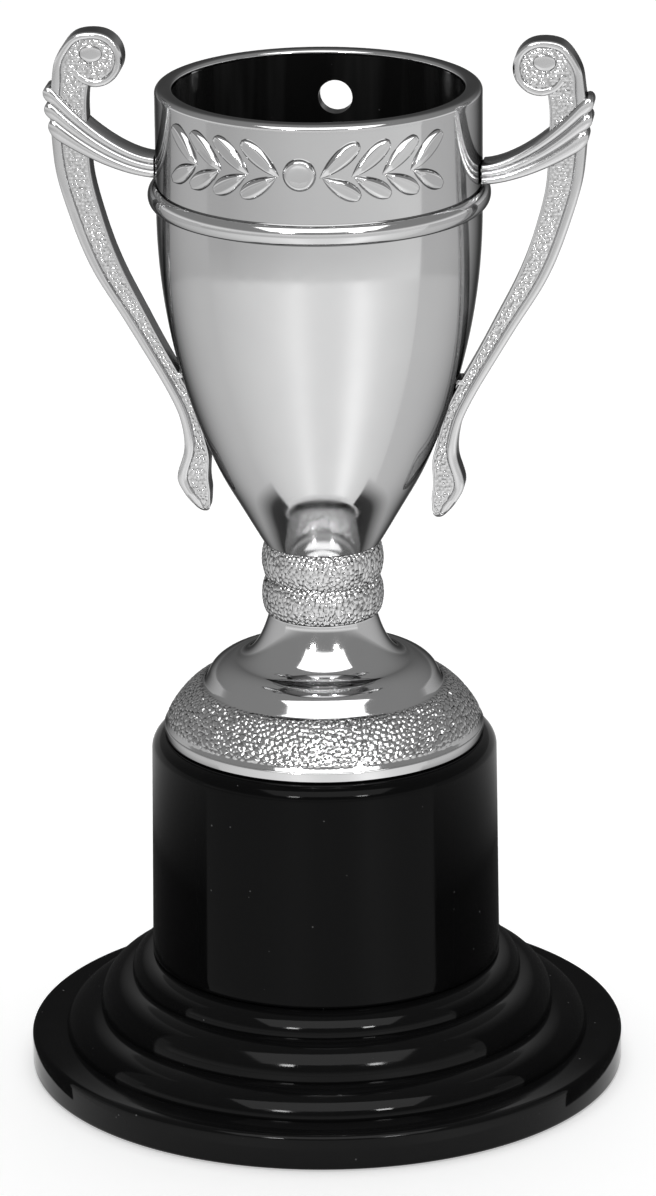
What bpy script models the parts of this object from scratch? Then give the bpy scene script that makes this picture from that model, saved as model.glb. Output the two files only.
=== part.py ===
"""Small two-handled cup trophy on a stepped round plinth.

Lengths are in metres, +Z is up and the origin is the middle of the underside. The handles lie along X
and the front of the cup faces -Y. One long bolt clamps bowl, collar, foot, drum and base together.
"""
import math

import bmesh
import bpy

# Clearances
SEAT_GAP = 0.0003
BOLT_CLEARANCE = 0.0003
WASHER_CLEARANCE = 0.0002
MERGE_DISTANCE = 0.00001
WELD_DISTANCE = 0.000001

# Facets round a full turn
BODY_STEPS = 48
SMALL_STEPS = 24
ARC_POINTS = 5
CRISP_EDGE_DEGREES = 35

# Plinth: the drum and the steps that widen below it
DRUM_RADIUS = 0.0205
DRUM_DRAFT = 0.0003
DRUM_HEIGHT = 0.0268
DRUM_SHOULDER = 0.0018
DRUM_WALL = 0.0022
DRUM_DECK = 0.0025
TOP_STEP_WIDTH = 0.0025
TOP_STEP_HEIGHT = 0.0026
MIDDLE_STEP_WIDTH = 0.0038
MIDDLE_STEP_HEIGHT = 0.004
LOW_STEP_WIDTH = 0.0041
LOW_STEP_HEIGHT = 0.003
STEP_LEDGE = 0.00045
FLANGE_WIDTH = 0.0041
FLANGE_HEIGHT = 0.0043
FLANGE_ROUND = 0.0007
BASE_FOOT_ROUND = 0.0005
BASE_WALL = 0.0016
BASE_DECK = 0.0023
BASE_RIM = 0.0022
SPIGOT_HEIGHT = 0.0025
SPIGOT_WALL = 0.002
PAD_THICKNESS = 0.001
BALLAST_THICKNESS = 0.003
BALLAST_CLEARANCE = 0.0008

# Centre bolt with its washers and thin nut
BOLT_RADIUS = 0.0025
BOLT_HEAD_FLATS = 0.008
BOLT_HEAD_HEIGHT = 0.0035
BOLT_TAIL = 0.0006
WASHER_RADIUS = 0.005
WASHER_THICKNESS = 0.001
NUT_FLATS = 0.008
NUT_THICKNESS = 0.0027

# Bell-shaped foot
FOOT_RADIUS = 0.0187
FOOT_HEIGHT = 0.0144
FOOT_LIP_HEIGHT = 0.0011
FOOT_BAND_WIDTH = 0.0047
FOOT_BAND_HEIGHT = 0.0045
FOOT_BAND_SWELL = 0.8
FOOT_DOME_WIDTH = 0.0035
FOOT_DOME_HEIGHT = 0.0023
FOOT_NECK_RADIUS = 0.0064
FOOT_NECK_HEIGHT = 0.0012
FOOT_RIM_WIDTH = 0.0022
FOOT_CROWN = 0.0068
FOOT_HOLLOW_SHOULDER = 0.7

# Collar of two bulging rings
COLLAR_HEIGHT = 0.0083
COLLAR_RINGS = 2
COLLAR_WAIST_RADIUS = 0.0064
COLLAR_BULGE = 0.0005

# Bowl
BOWL_RADIUS = 0.01866
BOWL_BOTTOM_RADIUS = 0.0072
BOWL_HEIGHT = 0.0541
BOWL_FLOOR = 0.0024
BOWL_WALL = 0.0019
BOWL_SWELL = 2.12
BOWL_CURVE_POINTS = 11
LIP_ROUND = 0.0005
BAND_HEIGHT = 0.0113
BEAD_HEIGHT = 0.0025
BEAD_BULGE = 0.00095
REAR_HOLE_RADIUS = 0.002
REAR_HOLE_DROP = 0.0056

# Handles: flat scrolls, each with an arm and a tenon
HANDLE_THICKNESS = 0.0034
HANDLE_CURVE_STEPS = 4
SCROLL_RADIUS = 0.0031
SCROLL_RISE = 0.0029
SCROLL_REACH = 0.00705
ARM_DEPTH = 0.004
ARM_DROP = 0.0096
ARM_LENGTH = 0.01235
ARM_RISE = 0.00635
ARM_ROOT_HEIGHT = 0.00255
ARM_END_HEIGHT = 0.0044
ARM_BEND = 1.7
ARM_POINTS = 8
TENON_WIDTH = 0.0024
TENON_HEIGHT = 0.0016

# Leg of the handle from the scroll down to the tip: drop below the rim, distance of the inner edge
# from the bowl's wall at that height, and width of the leg
LEG_ROWS = (
    (-0.0047, 0.0073, 0.00245),
    (-0.0026, 0.0073, 0.0036),
    (0.0001, 0.00735, 0.004),
    (0.0027, 0.00765, 0.0041),
    (0.0067, 0.00745, 0.0042),
    (0.0107, 0.0072, 0.00385),
    (0.0147, 0.0062, 0.00375),
    (0.0187, 0.00505, 0.0036),
    (0.0227, 0.00375, 0.0034),
    (0.0267, 0.0023, 0.00295),
    (0.0307, 0.00105, 0.0026),
    (0.0347, -0.00005, 0.0024),
    (0.0375, -0.00045, 0.00225),
    (0.0395, -0.0003, 0.00205),
    (0.0417, 0.00005, 0.00215),
    (0.0435, 0.00035, 0.0026),
    (0.045, 0.00095, 0.00305),
    (0.0467, 0.00185, 0.00345),
    (0.0479, 0.0025, 0.0031),
    (0.0489, 0.0031, 0.0024),
)
TIP_DROP = 0.05055
TIP_DISTANCE = 0.00465

# Heights of the stacked pieces
BASE_TOP = FLANGE_HEIGHT + LOW_STEP_HEIGHT + MIDDLE_STEP_HEIGHT + TOP_STEP_HEIGHT
DRUM_BOTTOM = BASE_TOP + SEAT_GAP
FOOT_BOTTOM = DRUM_BOTTOM + DRUM_HEIGHT + SEAT_GAP
COLLAR_BOTTOM = FOOT_BOTTOM + FOOT_HEIGHT + SEAT_GAP
BOWL_BOTTOM = COLLAR_BOTTOM + COLLAR_HEIGHT + SEAT_GAP
RIM_TOP = BOWL_BOTTOM + BOWL_HEIGHT
CUP_WASHER_BOTTOM = BOWL_BOTTOM + BOWL_FLOOR + SEAT_GAP
BOLT_HEAD_BOTTOM = CUP_WASHER_BOTTOM + WASHER_THICKNESS + SEAT_GAP
BALLAST_BOTTOM = BASE_TOP - BASE_DECK - SEAT_GAP - BALLAST_THICKNESS
BASE_WASHER_BOTTOM = BALLAST_BOTTOM - SEAT_GAP - WASHER_THICKNESS
NUT_BOTTOM = BASE_WASHER_BOTTOM - SEAT_GAP - NUT_THICKNESS
BOLT_BOTTOM = NUT_BOTTOM - BOLT_TAIL

# Radii that follow from the sizes above
BORE_RADIUS = BOLT_RADIUS + BOLT_CLEARANCE
WASHER_BORE_RADIUS = BOLT_RADIUS + WASHER_CLEARANCE
TOP_STEP_RADIUS = DRUM_RADIUS + TOP_STEP_WIDTH
MIDDLE_STEP_RADIUS = TOP_STEP_RADIUS + MIDDLE_STEP_WIDTH
LOW_STEP_RADIUS = MIDDLE_STEP_RADIUS + LOW_STEP_WIDTH
BASE_RADIUS = LOW_STEP_RADIUS + FLANGE_WIDTH
PAD_POCKET_RADIUS = BASE_RADIUS - BASE_RIM
BALLAST_POCKET_RADIUS = TOP_STEP_RADIUS - BASE_WALL
DRUM_BORE_RADIUS = DRUM_RADIUS - DRUM_DRAFT - DRUM_WALL


def clear_scene():
    """Remove every object, so that the script can be run again."""
    for item in list(bpy.data.objects):
        bpy.data.objects.remove(item, do_unlink=True)


def new_collection(name):
    """Add a collection to the scene."""
    collection = bpy.data.collections.new(name)
    bpy.context.scene.collection.children.link(collection)
    return collection


def new_material(name, colour, roughness, metallic):
    """Make a Principled BSDF material."""
    material = bpy.data.materials.new(name)
    material.use_nodes = True
    shader = material.node_tree.nodes["Principled BSDF"]
    shader.inputs["Base Color"].default_value = (*colour, 1.0)
    shader.inputs["Roughness"].default_value = roughness
    shader.inputs["Metallic"].default_value = metallic
    return material


def add_object(name, data, collection, material=None):
    """Put mesh or curve data in the scene as a named object."""
    item = bpy.data.objects.new(name, data)
    collection.objects.link(item)
    if material:
        data.materials.append(material)
    return item


def add_cutter(name, data):
    """Put a helper shape in the scene that only serves other pieces."""
    item = add_object(name, data, CUTTERS)
    item.hide_render = True
    item.display_type = "WIRE"
    return item


def smooth_mesh(mesh):
    """Shade a mesh smooth, with its edges kept crisp."""
    mesh.shade_smooth()
    mesh.set_sharp_from_angle(angle=math.radians(CRISP_EDGE_DEGREES))


def quarter_round(top, bottom, points=ARC_POINTS):
    """Points of a convex quarter ellipse, level at the top and upright at the bottom."""
    arc = []
    for index in range(points + 1):
        angle = math.pi / 2 * index / points
        radius = top[0] + (bottom[0] - top[0]) * math.sin(angle)
        height = bottom[1] + (top[1] - bottom[1]) * math.cos(angle)
        arc.append((radius, height))
    return arc


def bulge(radius, top, bottom, depth, points=ARC_POINTS):
    """Points of a half-round swelling on an upright wall, from top to bottom."""
    arc = []
    for index in range(points + 1):
        share = index / points
        height = top + (bottom - top) * share
        arc.append((radius + depth * math.sin(math.pi * share), height))
    return arc


def bend(start, control, end, points=ARC_POINTS):
    """Points of a curve that leaves start towards control and comes into end from there."""
    arc = []
    for index in range(points + 1):
        share = index / points
        rest = 1 - share
        radius = rest * rest * start[0] + 2 * rest * share * control[0] + share * share * end[0]
        height = rest * rest * start[1] + 2 * rest * share * control[1] + share * share * end[1]
        arc.append((radius, height))
    return arc


def joined(*runs):
    """One profile from several runs of points, without repeated points."""
    profile = []
    for run in runs:
        for radius, height in run:
            if not profile or math.dist(profile[-1], (radius, height)) > MERGE_DISTANCE:
                profile.append((radius, height))
    return profile


def turned_mesh(name, profile, closed=True):
    """Mesh of a profile in the XZ plane, ready to be turned about Z."""
    mesh = bpy.data.meshes.new(name)
    points = [(radius, 0.0, height) for radius, height in profile]
    edges = [(index, index + 1) for index in range(len(points) - 1)]
    if closed:
        edges.append((len(points) - 1, 0))
    mesh.from_pydata(points, edges, [])
    return mesh


def turn(item, steps=BODY_STEPS):
    """Turn an object's profile once about Z."""
    screw = item.modifiers.new("turn", "SCREW")
    screw.steps = steps
    screw.render_steps = steps
    screw.use_merge_vertices = True
    screw.merge_threshold = MERGE_DISTANCE
    screw.use_smooth_shade = True


def turned_part(name, profile, height, material, steps=BODY_STEPS):
    """Ring-shaped piece turned about Z and set at its height."""
    item = add_object(name, turned_mesh(name, profile), TROPHY, material)
    item.location.z = height
    turn(item, steps)
    return item


def boolean(item, operation, other):
    """Cut another shape out of an object, or join it on."""
    modifier = item.modifiers.new(other.name, "BOOLEAN")
    modifier.operation = operation
    modifier.solver = "EXACT"
    modifier.object = other


def box_cutter(name, size, centre):
    """Upright box helper."""
    mesh = bpy.data.meshes.new(name)
    shape = bmesh.new()
    bmesh.ops.create_cube(shape, size=1.0)
    bmesh.ops.scale(shape, vec=size, verts=shape.verts)
    shape.to_mesh(mesh)
    shape.free()
    item = add_cutter(name, mesh)
    item.location = centre
    return item


def cylinder_mesh(name, radius, length, sides):
    """Closed cylinder or prism about Z, with its middle at the origin."""
    mesh = bpy.data.meshes.new(name)
    shape = bmesh.new()
    bmesh.ops.create_cone(
        shape, cap_ends=True, segments=sides, radius1=radius, radius2=radius, depth=length)
    shape.to_mesh(mesh)
    shape.free()
    return mesh


def evaluated_mesh(item, name):
    """Finished mesh of an object with its modifiers, or of a curve with its caps welded."""
    graph = bpy.context.evaluated_depsgraph_get()
    mesh = bpy.data.meshes.new_from_object(item.evaluated_get(graph))
    mesh.name = name
    shape = bmesh.new()
    shape.from_mesh(mesh)
    bmesh.ops.remove_doubles(shape, verts=shape.verts, dist=WELD_DISTANCE)
    shape.to_mesh(mesh)
    shape.free()
    return mesh


def outline_cutter(name, outline, thickness, smooth):
    """Helper plate from a closed outline in the XZ plane, as thick as asked along Y."""
    curve = bpy.data.curves.new(name, "CURVE")
    curve.dimensions = "2D"
    curve.fill_mode = "BOTH"
    curve.extrude = thickness / 2
    curve.resolution_u = HANDLE_CURVE_STEPS
    if smooth:
        spline = curve.splines.new("BEZIER")
        spline.bezier_points.add(len(outline) - 1)
        for point, (across, up) in zip(spline.bezier_points, outline):
            point.co = (across, up, 0.0)
            point.handle_left_type = "AUTO"
            point.handle_right_type = "AUTO"
    else:
        spline = curve.splines.new("POLY")
        spline.points.add(len(outline) - 1)
        for point, (across, up) in zip(spline.points, outline):
            point.co = (across, up, 0.0, 1.0)
    spline.use_cyclic_u = True
    flat = add_object(name + "_outline", curve, CUTTERS)
    flat.rotation_euler.x = math.pi / 2
    bpy.context.view_layer.update()
    plate = add_cutter(name, evaluated_mesh(flat, name))
    plate.matrix_world = flat.matrix_world.copy()
    bpy.data.objects.remove(flat, do_unlink=True)
    return plate


def base_profile():
    """Stepped base: three quarter-round steps above a flange, hollow underneath."""
    low_top = FLANGE_HEIGHT + LOW_STEP_HEIGHT
    middle_top = low_top + MIDDLE_STEP_HEIGHT
    spigot_radius = DRUM_BORE_RADIUS - SEAT_GAP
    spigot = [
        (spigot_radius - SPIGOT_WALL, BASE_TOP),
        (spigot_radius - SPIGOT_WALL, BASE_TOP + SPIGOT_HEIGHT),
        (spigot_radius, BASE_TOP + SPIGOT_HEIGHT),
        (spigot_radius, BASE_TOP),
    ]
    top_step = quarter_round((DRUM_RADIUS, BASE_TOP), (TOP_STEP_RADIUS, middle_top))
    middle_step = quarter_round((TOP_STEP_RADIUS + STEP_LEDGE, middle_top), (MIDDLE_STEP_RADIUS, low_top))
    low_step = quarter_round((MIDDLE_STEP_RADIUS + STEP_LEDGE, low_top), (LOW_STEP_RADIUS, FLANGE_HEIGHT))
    edge = quarter_round(
        (BASE_RADIUS - FLANGE_ROUND, FLANGE_HEIGHT), (BASE_RADIUS, FLANGE_HEIGHT - FLANGE_ROUND), 3)
    pad_ceiling = PAD_THICKNESS + SEAT_GAP
    step_pocket_radius = MIDDLE_STEP_RADIUS - BASE_WALL
    underside = [
        (BASE_RADIUS, BASE_FOOT_ROUND),
        (BASE_RADIUS - BASE_FOOT_ROUND, 0.0),
        (PAD_POCKET_RADIUS, 0.0),
        (PAD_POCKET_RADIUS, pad_ceiling),
        (step_pocket_radius, pad_ceiling),
        (step_pocket_radius, low_top - BASE_DECK),
        (BALLAST_POCKET_RADIUS, low_top - BASE_DECK),
        (BALLAST_POCKET_RADIUS, BASE_TOP - BASE_DECK),
        (BORE_RADIUS, BASE_TOP - BASE_DECK),
        (BORE_RADIUS, BASE_TOP),
    ]
    return joined(spigot, top_step, middle_step, low_step, edge, underside)


def drum_profile():
    """Hollow drum with a deck on top and a rounded shoulder."""
    top_radius = DRUM_RADIUS - DRUM_DRAFT
    shoulder = quarter_round(
        (top_radius - DRUM_SHOULDER, DRUM_HEIGHT), (top_radius, DRUM_HEIGHT - DRUM_SHOULDER))
    inside = [
        (DRUM_RADIUS, 0.0),
        (DRUM_BORE_RADIUS, 0.0),
        (DRUM_BORE_RADIUS, DRUM_HEIGHT - DRUM_DECK),
        (BORE_RADIUS, DRUM_HEIGHT - DRUM_DECK),
        (BORE_RADIUS, DRUM_HEIGHT),
    ]
    return joined(shoulder, inside)


def foot_profile():
    """Bell-shaped foot: neck, cove, dome, textured band and lip, hollow underneath."""
    band_top = FOOT_LIP_HEIGHT + FOOT_BAND_HEIGHT
    dome_top = band_top + FOOT_DOME_HEIGHT
    dome_radius = FOOT_RADIUS - FOOT_BAND_WIDTH
    cove_radius = dome_radius - FOOT_DOME_WIDTH
    neck_bottom = FOOT_HEIGHT - FOOT_NECK_HEIGHT
    cove = bend(
        (FOOT_NECK_RADIUS, neck_bottom), (FOOT_NECK_RADIUS, dome_top + SEAT_GAP), (cove_radius, dome_top))
    dome = quarter_round((cove_radius, dome_top), (dome_radius, band_top))
    swell = (FOOT_RADIUS - FOOT_BAND_WIDTH / 3, FOOT_LIP_HEIGHT + FOOT_BAND_HEIGHT * FOOT_BAND_SWELL)
    band = bend((dome_radius + SEAT_GAP, band_top), swell, (FOOT_RADIUS, FOOT_LIP_HEIGHT))
    inner_radius = FOOT_RADIUS - FOOT_RIM_WIDTH
    crown_radius = BORE_RADIUS + FOOT_RIM_WIDTH
    shoulder = (inner_radius - FOOT_RIM_WIDTH, FOOT_CROWN * FOOT_HOLLOW_SHOULDER)
    hollow = bend((inner_radius, 0.0), shoulder, (crown_radius, FOOT_CROWN))
    return joined(
        [(FOOT_NECK_RADIUS, FOOT_HEIGHT)], cove, dome, band, [(FOOT_RADIUS, 0.0)], hollow,
        [(BORE_RADIUS, FOOT_CROWN), (BORE_RADIUS, FOOT_HEIGHT)])


def collar_profile():
    """Collar of equal bulging rings round the bolt."""
    rings = []
    ring_height = COLLAR_HEIGHT / COLLAR_RINGS
    for index in range(COLLAR_RINGS):
        top = COLLAR_HEIGHT - index * ring_height
        rings.append(bulge(COLLAR_WAIST_RADIUS, top, top - ring_height, COLLAR_BULGE))
    return joined(*rings, [(BORE_RADIUS, 0.0), (BORE_RADIUS, COLLAR_HEIGHT)])


def bead_bottom():
    """Height of the bead's underside above the bowl's bottom."""
    return BOWL_HEIGHT - BAND_HEIGHT - BEAD_HEIGHT


def wall_radius(height):
    """Outer radius of the bowl's plain wall at a height above the bowl's bottom."""
    share = min(max(height / bead_bottom(), 0.0), 1.0)
    return BOWL_BOTTOM_RADIUS + (BOWL_RADIUS - BOWL_BOTTOM_RADIUS) * (1 - (1 - share) ** BOWL_SWELL)


def bowl_outside(extra=0.0):
    """Outer side of the bowl from the rim's outer edge to the bottom, moved out by some extra."""
    bead_top = BOWL_HEIGHT - BAND_HEIGHT
    bead = bulge(BOWL_RADIUS + extra, bead_top, bead_bottom(), BEAD_BULGE)
    wall = []
    for index in range(BOWL_CURVE_POINTS + 1):
        height = bead_bottom() * (1 - index / BOWL_CURVE_POINTS)
        wall.append((wall_radius(height) + extra, height))
    return joined(bead, wall)


def bowl_profile():
    """Bowl: rounded lip, band, bead and swelling wall outside, plain wall and flat floor inside."""
    lip = quarter_round((BOWL_RADIUS - LIP_ROUND, BOWL_HEIGHT), (BOWL_RADIUS, BOWL_HEIGHT - LIP_ROUND), 3)
    inside = []
    for index in range(BOWL_CURVE_POINTS + 1):
        height = BOWL_FLOOR + (bead_bottom() - BOWL_FLOOR) * index / BOWL_CURVE_POINTS
        inside.append((wall_radius(height) - BOWL_WALL, height))
    rim = [(BOWL_RADIUS - BOWL_WALL, BOWL_HEIGHT)]
    bore = [(BORE_RADIUS, 0.0), (BORE_RADIUS, BOWL_FLOOR)]
    return joined(lip, bowl_outside(), bore, inside, rim)


def bowl_envelope():
    """Helper solid that is one seat gap larger than the bowl all round."""
    top = BOWL_HEIGHT + BAND_HEIGHT
    side = [(BOWL_RADIUS + SEAT_GAP, top)] + bowl_outside(SEAT_GAP)
    profile = [(0.0, top)] + side + [(0.0, side[-1][1])]
    item = add_cutter("bowl_envelope", turned_mesh("bowl_envelope", profile, closed=False))
    item.location.z = BOWL_BOTTOM
    turn(item)
    return item


def leg_outline():
    """Closed outline of the handle's leg, down its outer edge and back up its inner edge."""
    outer = []
    inner = []
    for drop, distance, width in LEG_ROWS:
        across = wall_radius(BOWL_HEIGHT - drop) + distance
        outer.append((across + width, RIM_TOP - drop))
        inner.append((across, RIM_TOP - drop))
    tip = (wall_radius(BOWL_HEIGHT - TIP_DROP) + TIP_DISTANCE, RIM_TOP - TIP_DROP)
    return outer + [tip] + inner[::-1]


def arm_outline():
    """Closed outline of the arm, which curves up from the bowl's wall and grows taller."""
    upper = []
    lower = []
    for index in range(ARM_POINTS + 1):
        share = index / ARM_POINTS
        across = BOWL_RADIUS - BOWL_WALL + (ARM_LENGTH + BOWL_WALL) * share
        middle = RIM_TOP - ARM_DROP + ARM_RISE * share ** ARM_BEND
        half = (ARM_ROOT_HEIGHT + (ARM_END_HEIGHT - ARM_ROOT_HEIGHT) * share) / 2
        upper.append((across, middle + half))
        lower.append((across, middle - half))
    return upper + lower[::-1]


def handle_mesh():
    """One handle at the +X side: leg, scroll and arm, cut clear of the bowl, with its tenon."""
    leg = outline_cutter("handle_leg", leg_outline(), HANDLE_THICKNESS, smooth=True)
    arm = outline_cutter("handle_arm", arm_outline(), ARM_DEPTH, smooth=False)
    scroll_depth = HANDLE_THICKNESS - SEAT_GAP
    scroll_mesh = cylinder_mesh("handle_scroll", SCROLL_RADIUS, scroll_depth, SMALL_STEPS)
    scroll = add_cutter("handle_scroll", scroll_mesh)
    scroll.location = (BOWL_RADIUS + SCROLL_REACH, 0.0, RIM_TOP + SCROLL_RISE)
    scroll.rotation_euler.x = math.pi / 2
    tenon_start = BOWL_RADIUS - BOWL_WALL + SEAT_GAP
    tenon_end = BOWL_RADIUS + ARM_DEPTH / 2
    tenon = box_cutter(
        "handle_tenon", (tenon_end - tenon_start, TENON_WIDTH, TENON_HEIGHT),
        ((tenon_start + tenon_end) / 2, 0.0, RIM_TOP - ARM_DROP))
    boolean(leg, "UNION", scroll)
    boolean(leg, "UNION", arm)
    boolean(leg, "DIFFERENCE", bowl_envelope())
    boolean(leg, "UNION", tenon)
    bpy.context.view_layer.update()
    mesh = evaluated_mesh(leg, "handle")
    mesh.transform(leg.matrix_world)
    smooth_mesh(mesh)
    return mesh


def add_bowl():
    """Bowl with its rear hole and the two slots for the handles' tenons."""
    bowl = turned_part("bowl", bowl_profile(), BOWL_BOTTOM, SILVER)
    hole = add_cutter(
        "rear_hole", cylinder_mesh("rear_hole", REAR_HOLE_RADIUS, BOWL_RADIUS, SMALL_STEPS))
    hole.location = (0.0, BOWL_RADIUS, RIM_TOP - REAR_HOLE_DROP)
    hole.rotation_euler.x = math.pi / 2
    boolean(bowl, "DIFFERENCE", hole)
    for side in (-1, 1):
        slot = box_cutter(
            "tenon_slot", (BOWL_RADIUS, TENON_WIDTH + 2 * SEAT_GAP, TENON_HEIGHT + 2 * SEAT_GAP),
            (side * BOWL_RADIUS, 0.0, RIM_TOP - ARM_DROP))
        boolean(bowl, "DIFFERENCE", slot)
    return bowl


def add_cup():
    """Everything that turns with the cup, under an empty on the turning axis."""
    pivot = bpy.data.objects.new("cup_swivel", None)
    TROPHY.objects.link(pivot)
    pivot.location.z = FOOT_BOTTOM
    handle = handle_mesh()
    handle_right = add_object("handle_right", handle, TROPHY, SILVER_HANDLE)
    handle_left = add_object("handle_left", handle, TROPHY)
    handle_left.rotation_euler.z = math.pi
    foot = turned_part("foot", foot_profile(), FOOT_BOTTOM, SILVER_FOOT)
    collar = turned_part("stem_collar", collar_profile(), COLLAR_BOTTOM, SILVER_COLLAR)
    bpy.context.view_layer.update()
    for item in (add_bowl(), handle_right, handle_left, foot, collar):
        item.parent = pivot
        item.location.z -= FOOT_BOTTOM


def ring_profile(bore_radius, radius, thickness):
    """Flat ring."""
    return [(radius, thickness), (radius, 0.0), (bore_radius, 0.0), (bore_radius, thickness)]


def hexagon_radius(flats):
    """Corner radius of a hexagon from its width across flats."""
    return flats / 2 / math.cos(math.pi / 6)


def add_plinth():
    """Drum and stepped base with the soft pad in the recess below."""
    turned_part("plinth_drum", drum_profile(), DRUM_BOTTOM, BLACK_DRUM)
    turned_part("stepped_base", base_profile(), 0.0, BLACK_BASE)
    pad_radius = PAD_POCKET_RADIUS - SEAT_GAP
    pad_mesh = cylinder_mesh("base_pad", pad_radius, PAD_THICKNESS, BODY_STEPS)
    pad = add_object("base_pad", pad_mesh, TROPHY, FELT)
    pad.location.z = PAD_THICKNESS / 2
    ballast_radius = BALLAST_POCKET_RADIUS - BALLAST_CLEARANCE
    ballast = ring_profile(BORE_RADIUS, ballast_radius, BALLAST_THICKNESS)
    turned_part("ballast_disc", ballast, BALLAST_BOTTOM, BALLAST_STEEL)


def add_fasteners():
    """Centre bolt with its hexagon head in the bowl, two washers and a thin nut under the ballast."""
    shank_length = BOLT_HEAD_BOTTOM + BOLT_HEAD_HEIGHT / 2 - BOLT_BOTTOM
    shank = cylinder_mesh("centre_bolt", BOLT_RADIUS, shank_length, SMALL_STEPS)
    bolt = add_object("centre_bolt", shank, TROPHY, ZINC)
    bolt.location.z = BOLT_BOTTOM + shank_length / 2
    head = add_cutter(
        "bolt_head", cylinder_mesh("bolt_head", hexagon_radius(BOLT_HEAD_FLATS), BOLT_HEAD_HEIGHT, 6))
    head.location.z = BOLT_HEAD_BOTTOM + BOLT_HEAD_HEIGHT / 2
    boolean(bolt, "UNION", head)
    washer = ring_profile(WASHER_BORE_RADIUS, WASHER_RADIUS, WASHER_THICKNESS)
    turned_part("cup_washer", washer, CUP_WASHER_BOTTOM, ZINC_WASHER, SMALL_STEPS)
    turned_part("base_washer", washer, BASE_WASHER_BOTTOM, ZINC_BASE_WASHER, SMALL_STEPS)
    nut_mesh = cylinder_mesh("base_nut", hexagon_radius(NUT_FLATS), NUT_THICKNESS, 6)
    nut = add_object("base_nut", nut_mesh, TROPHY, ZINC_NUT)
    nut.location.z = NUT_BOTTOM + NUT_THICKNESS / 2
    thread = add_cutter(
        "nut_thread", cylinder_mesh("nut_thread", WASHER_BORE_RADIUS, NUT_THICKNESS * 2, SMALL_STEPS))
    thread.location.z = NUT_BOTTOM + NUT_THICKNESS / 2
    boolean(nut, "DIFFERENCE", thread)


clear_scene()
TROPHY = new_collection("cup_trophy")
CUTTERS = new_collection("cutters")

SILVER = new_material("silver_bowl", (0.78, 0.78, 0.77), 0.08, 1.0)
SILVER_HANDLE = new_material("silver_handle", (0.75, 0.75, 0.74), 0.16, 1.0)
SILVER_COLLAR = new_material("silver_collar", (0.76, 0.76, 0.75), 0.18, 1.0)
SILVER_FOOT = new_material("silver_foot", (0.77, 0.77, 0.76), 0.1, 1.0)
BLACK_DRUM = new_material("black_drum", (0.008, 0.008, 0.008), 0.12, 0.0)
BLACK_BASE = new_material("black_base", (0.009, 0.009, 0.009), 0.15, 0.0)
FELT = new_material("pad_felt", (0.03, 0.03, 0.03), 0.95, 0.0)
BALLAST_STEEL = new_material("ballast_steel", (0.32, 0.31, 0.3), 0.5, 1.0)
ZINC = new_material("zinc_bolt", (0.62, 0.63, 0.65), 0.3, 1.0)
ZINC_WASHER = new_material("zinc_cup_washer", (0.6, 0.61, 0.63), 0.34, 1.0)
ZINC_BASE_WASHER = new_material("zinc_base_washer", (0.58, 0.59, 0.61), 0.36, 1.0)
ZINC_NUT = new_material("zinc_nut", (0.6, 0.61, 0.62), 0.32, 1.0)

add_plinth()
add_fasteners()
add_cup()
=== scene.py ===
"""Looks of a small two-handled cup trophy on a black stepped plinth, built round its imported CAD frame.

Sizes are in millimetres and become metres when a mesh is made. +Z is up, the front of the cup faces -Y and
the handles lie along X, as in the CAD frame.
"""
import logging
import math
from dataclasses import dataclass, field
from enum import Enum

import bmesh
import bpy
import numpy as np
from mathutils import Matrix, Vector
from numpy.typing import NDArray


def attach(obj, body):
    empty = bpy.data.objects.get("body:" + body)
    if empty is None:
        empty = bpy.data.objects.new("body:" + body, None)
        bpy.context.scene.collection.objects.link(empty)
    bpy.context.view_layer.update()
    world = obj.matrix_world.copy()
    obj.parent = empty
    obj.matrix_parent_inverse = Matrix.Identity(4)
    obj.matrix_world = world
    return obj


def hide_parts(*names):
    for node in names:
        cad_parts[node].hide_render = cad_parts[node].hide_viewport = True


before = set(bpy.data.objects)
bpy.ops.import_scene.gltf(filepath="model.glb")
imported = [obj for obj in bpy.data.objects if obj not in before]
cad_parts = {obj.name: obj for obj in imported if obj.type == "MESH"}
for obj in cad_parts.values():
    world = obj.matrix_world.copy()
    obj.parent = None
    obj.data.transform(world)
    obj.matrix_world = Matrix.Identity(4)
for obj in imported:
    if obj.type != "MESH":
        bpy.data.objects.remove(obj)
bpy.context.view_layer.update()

LOG = logging.getLogger("cup_trophy")
Array = NDArray[np.float64]
Index = NDArray[np.int64]
Numbers = tuple[float, ...]
Point = tuple[float, float]
Triple = tuple[float, float, float]
Colour = tuple[float, float, float]
Material = bpy.types.Material
Socket = bpy.types.NodeSocket

# Metres in a millimetre
MM = 0.001
# Distance in metres under which points are welded
WELD = 0.000001
# Angle between two faces from which their edge stays sharp
CRISP = math.radians(38)
# Distance between the rows of a hexagonal lattice of pitch 1
HEX_ROW = math.sqrt(3) / 2
# Distance in millimetres under which two profile points count as one
SAME = 0.0001
# Distance in millimetres under which a row of points lies on a skin
NEAR = 0.01
# Share of a texture above which a point takes the texture's groove colour, a painted shade
TEXTURED = 0.2


class Body(Enum):
    """The rigid bodies of the frame that pieces ride on."""

    PLINTH = "plinth"
    CUP = "cup"


class Side(Enum):
    """The handle's side of the cup, as the sign of X."""

    LEFT = -1
    RIGHT = 1


class Opening(Enum):
    """Outline of an opening in the bowl's wall."""

    ROUND = "round"
    SLOT = "slot"


class LampUse(Enum):
    """What a lamp does: light matt surfaces, or be mirrored by glossy ones."""

    LIGHT = "light"
    MIRROR = "mirror"


def round_turn(count: int) -> Array:
    """Even angles round a full turn."""
    return np.arange(count) * 2 * np.pi / count


def polar(radius: Array, angle: Array, height: Array) -> Array:
    """Points about Z: the radius times cosine and sine of the angle, at the height."""
    return np.stack(np.broadcast_arrays(radius * np.cos(angle), radius * np.sin(angle), height), axis=-1)


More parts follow.
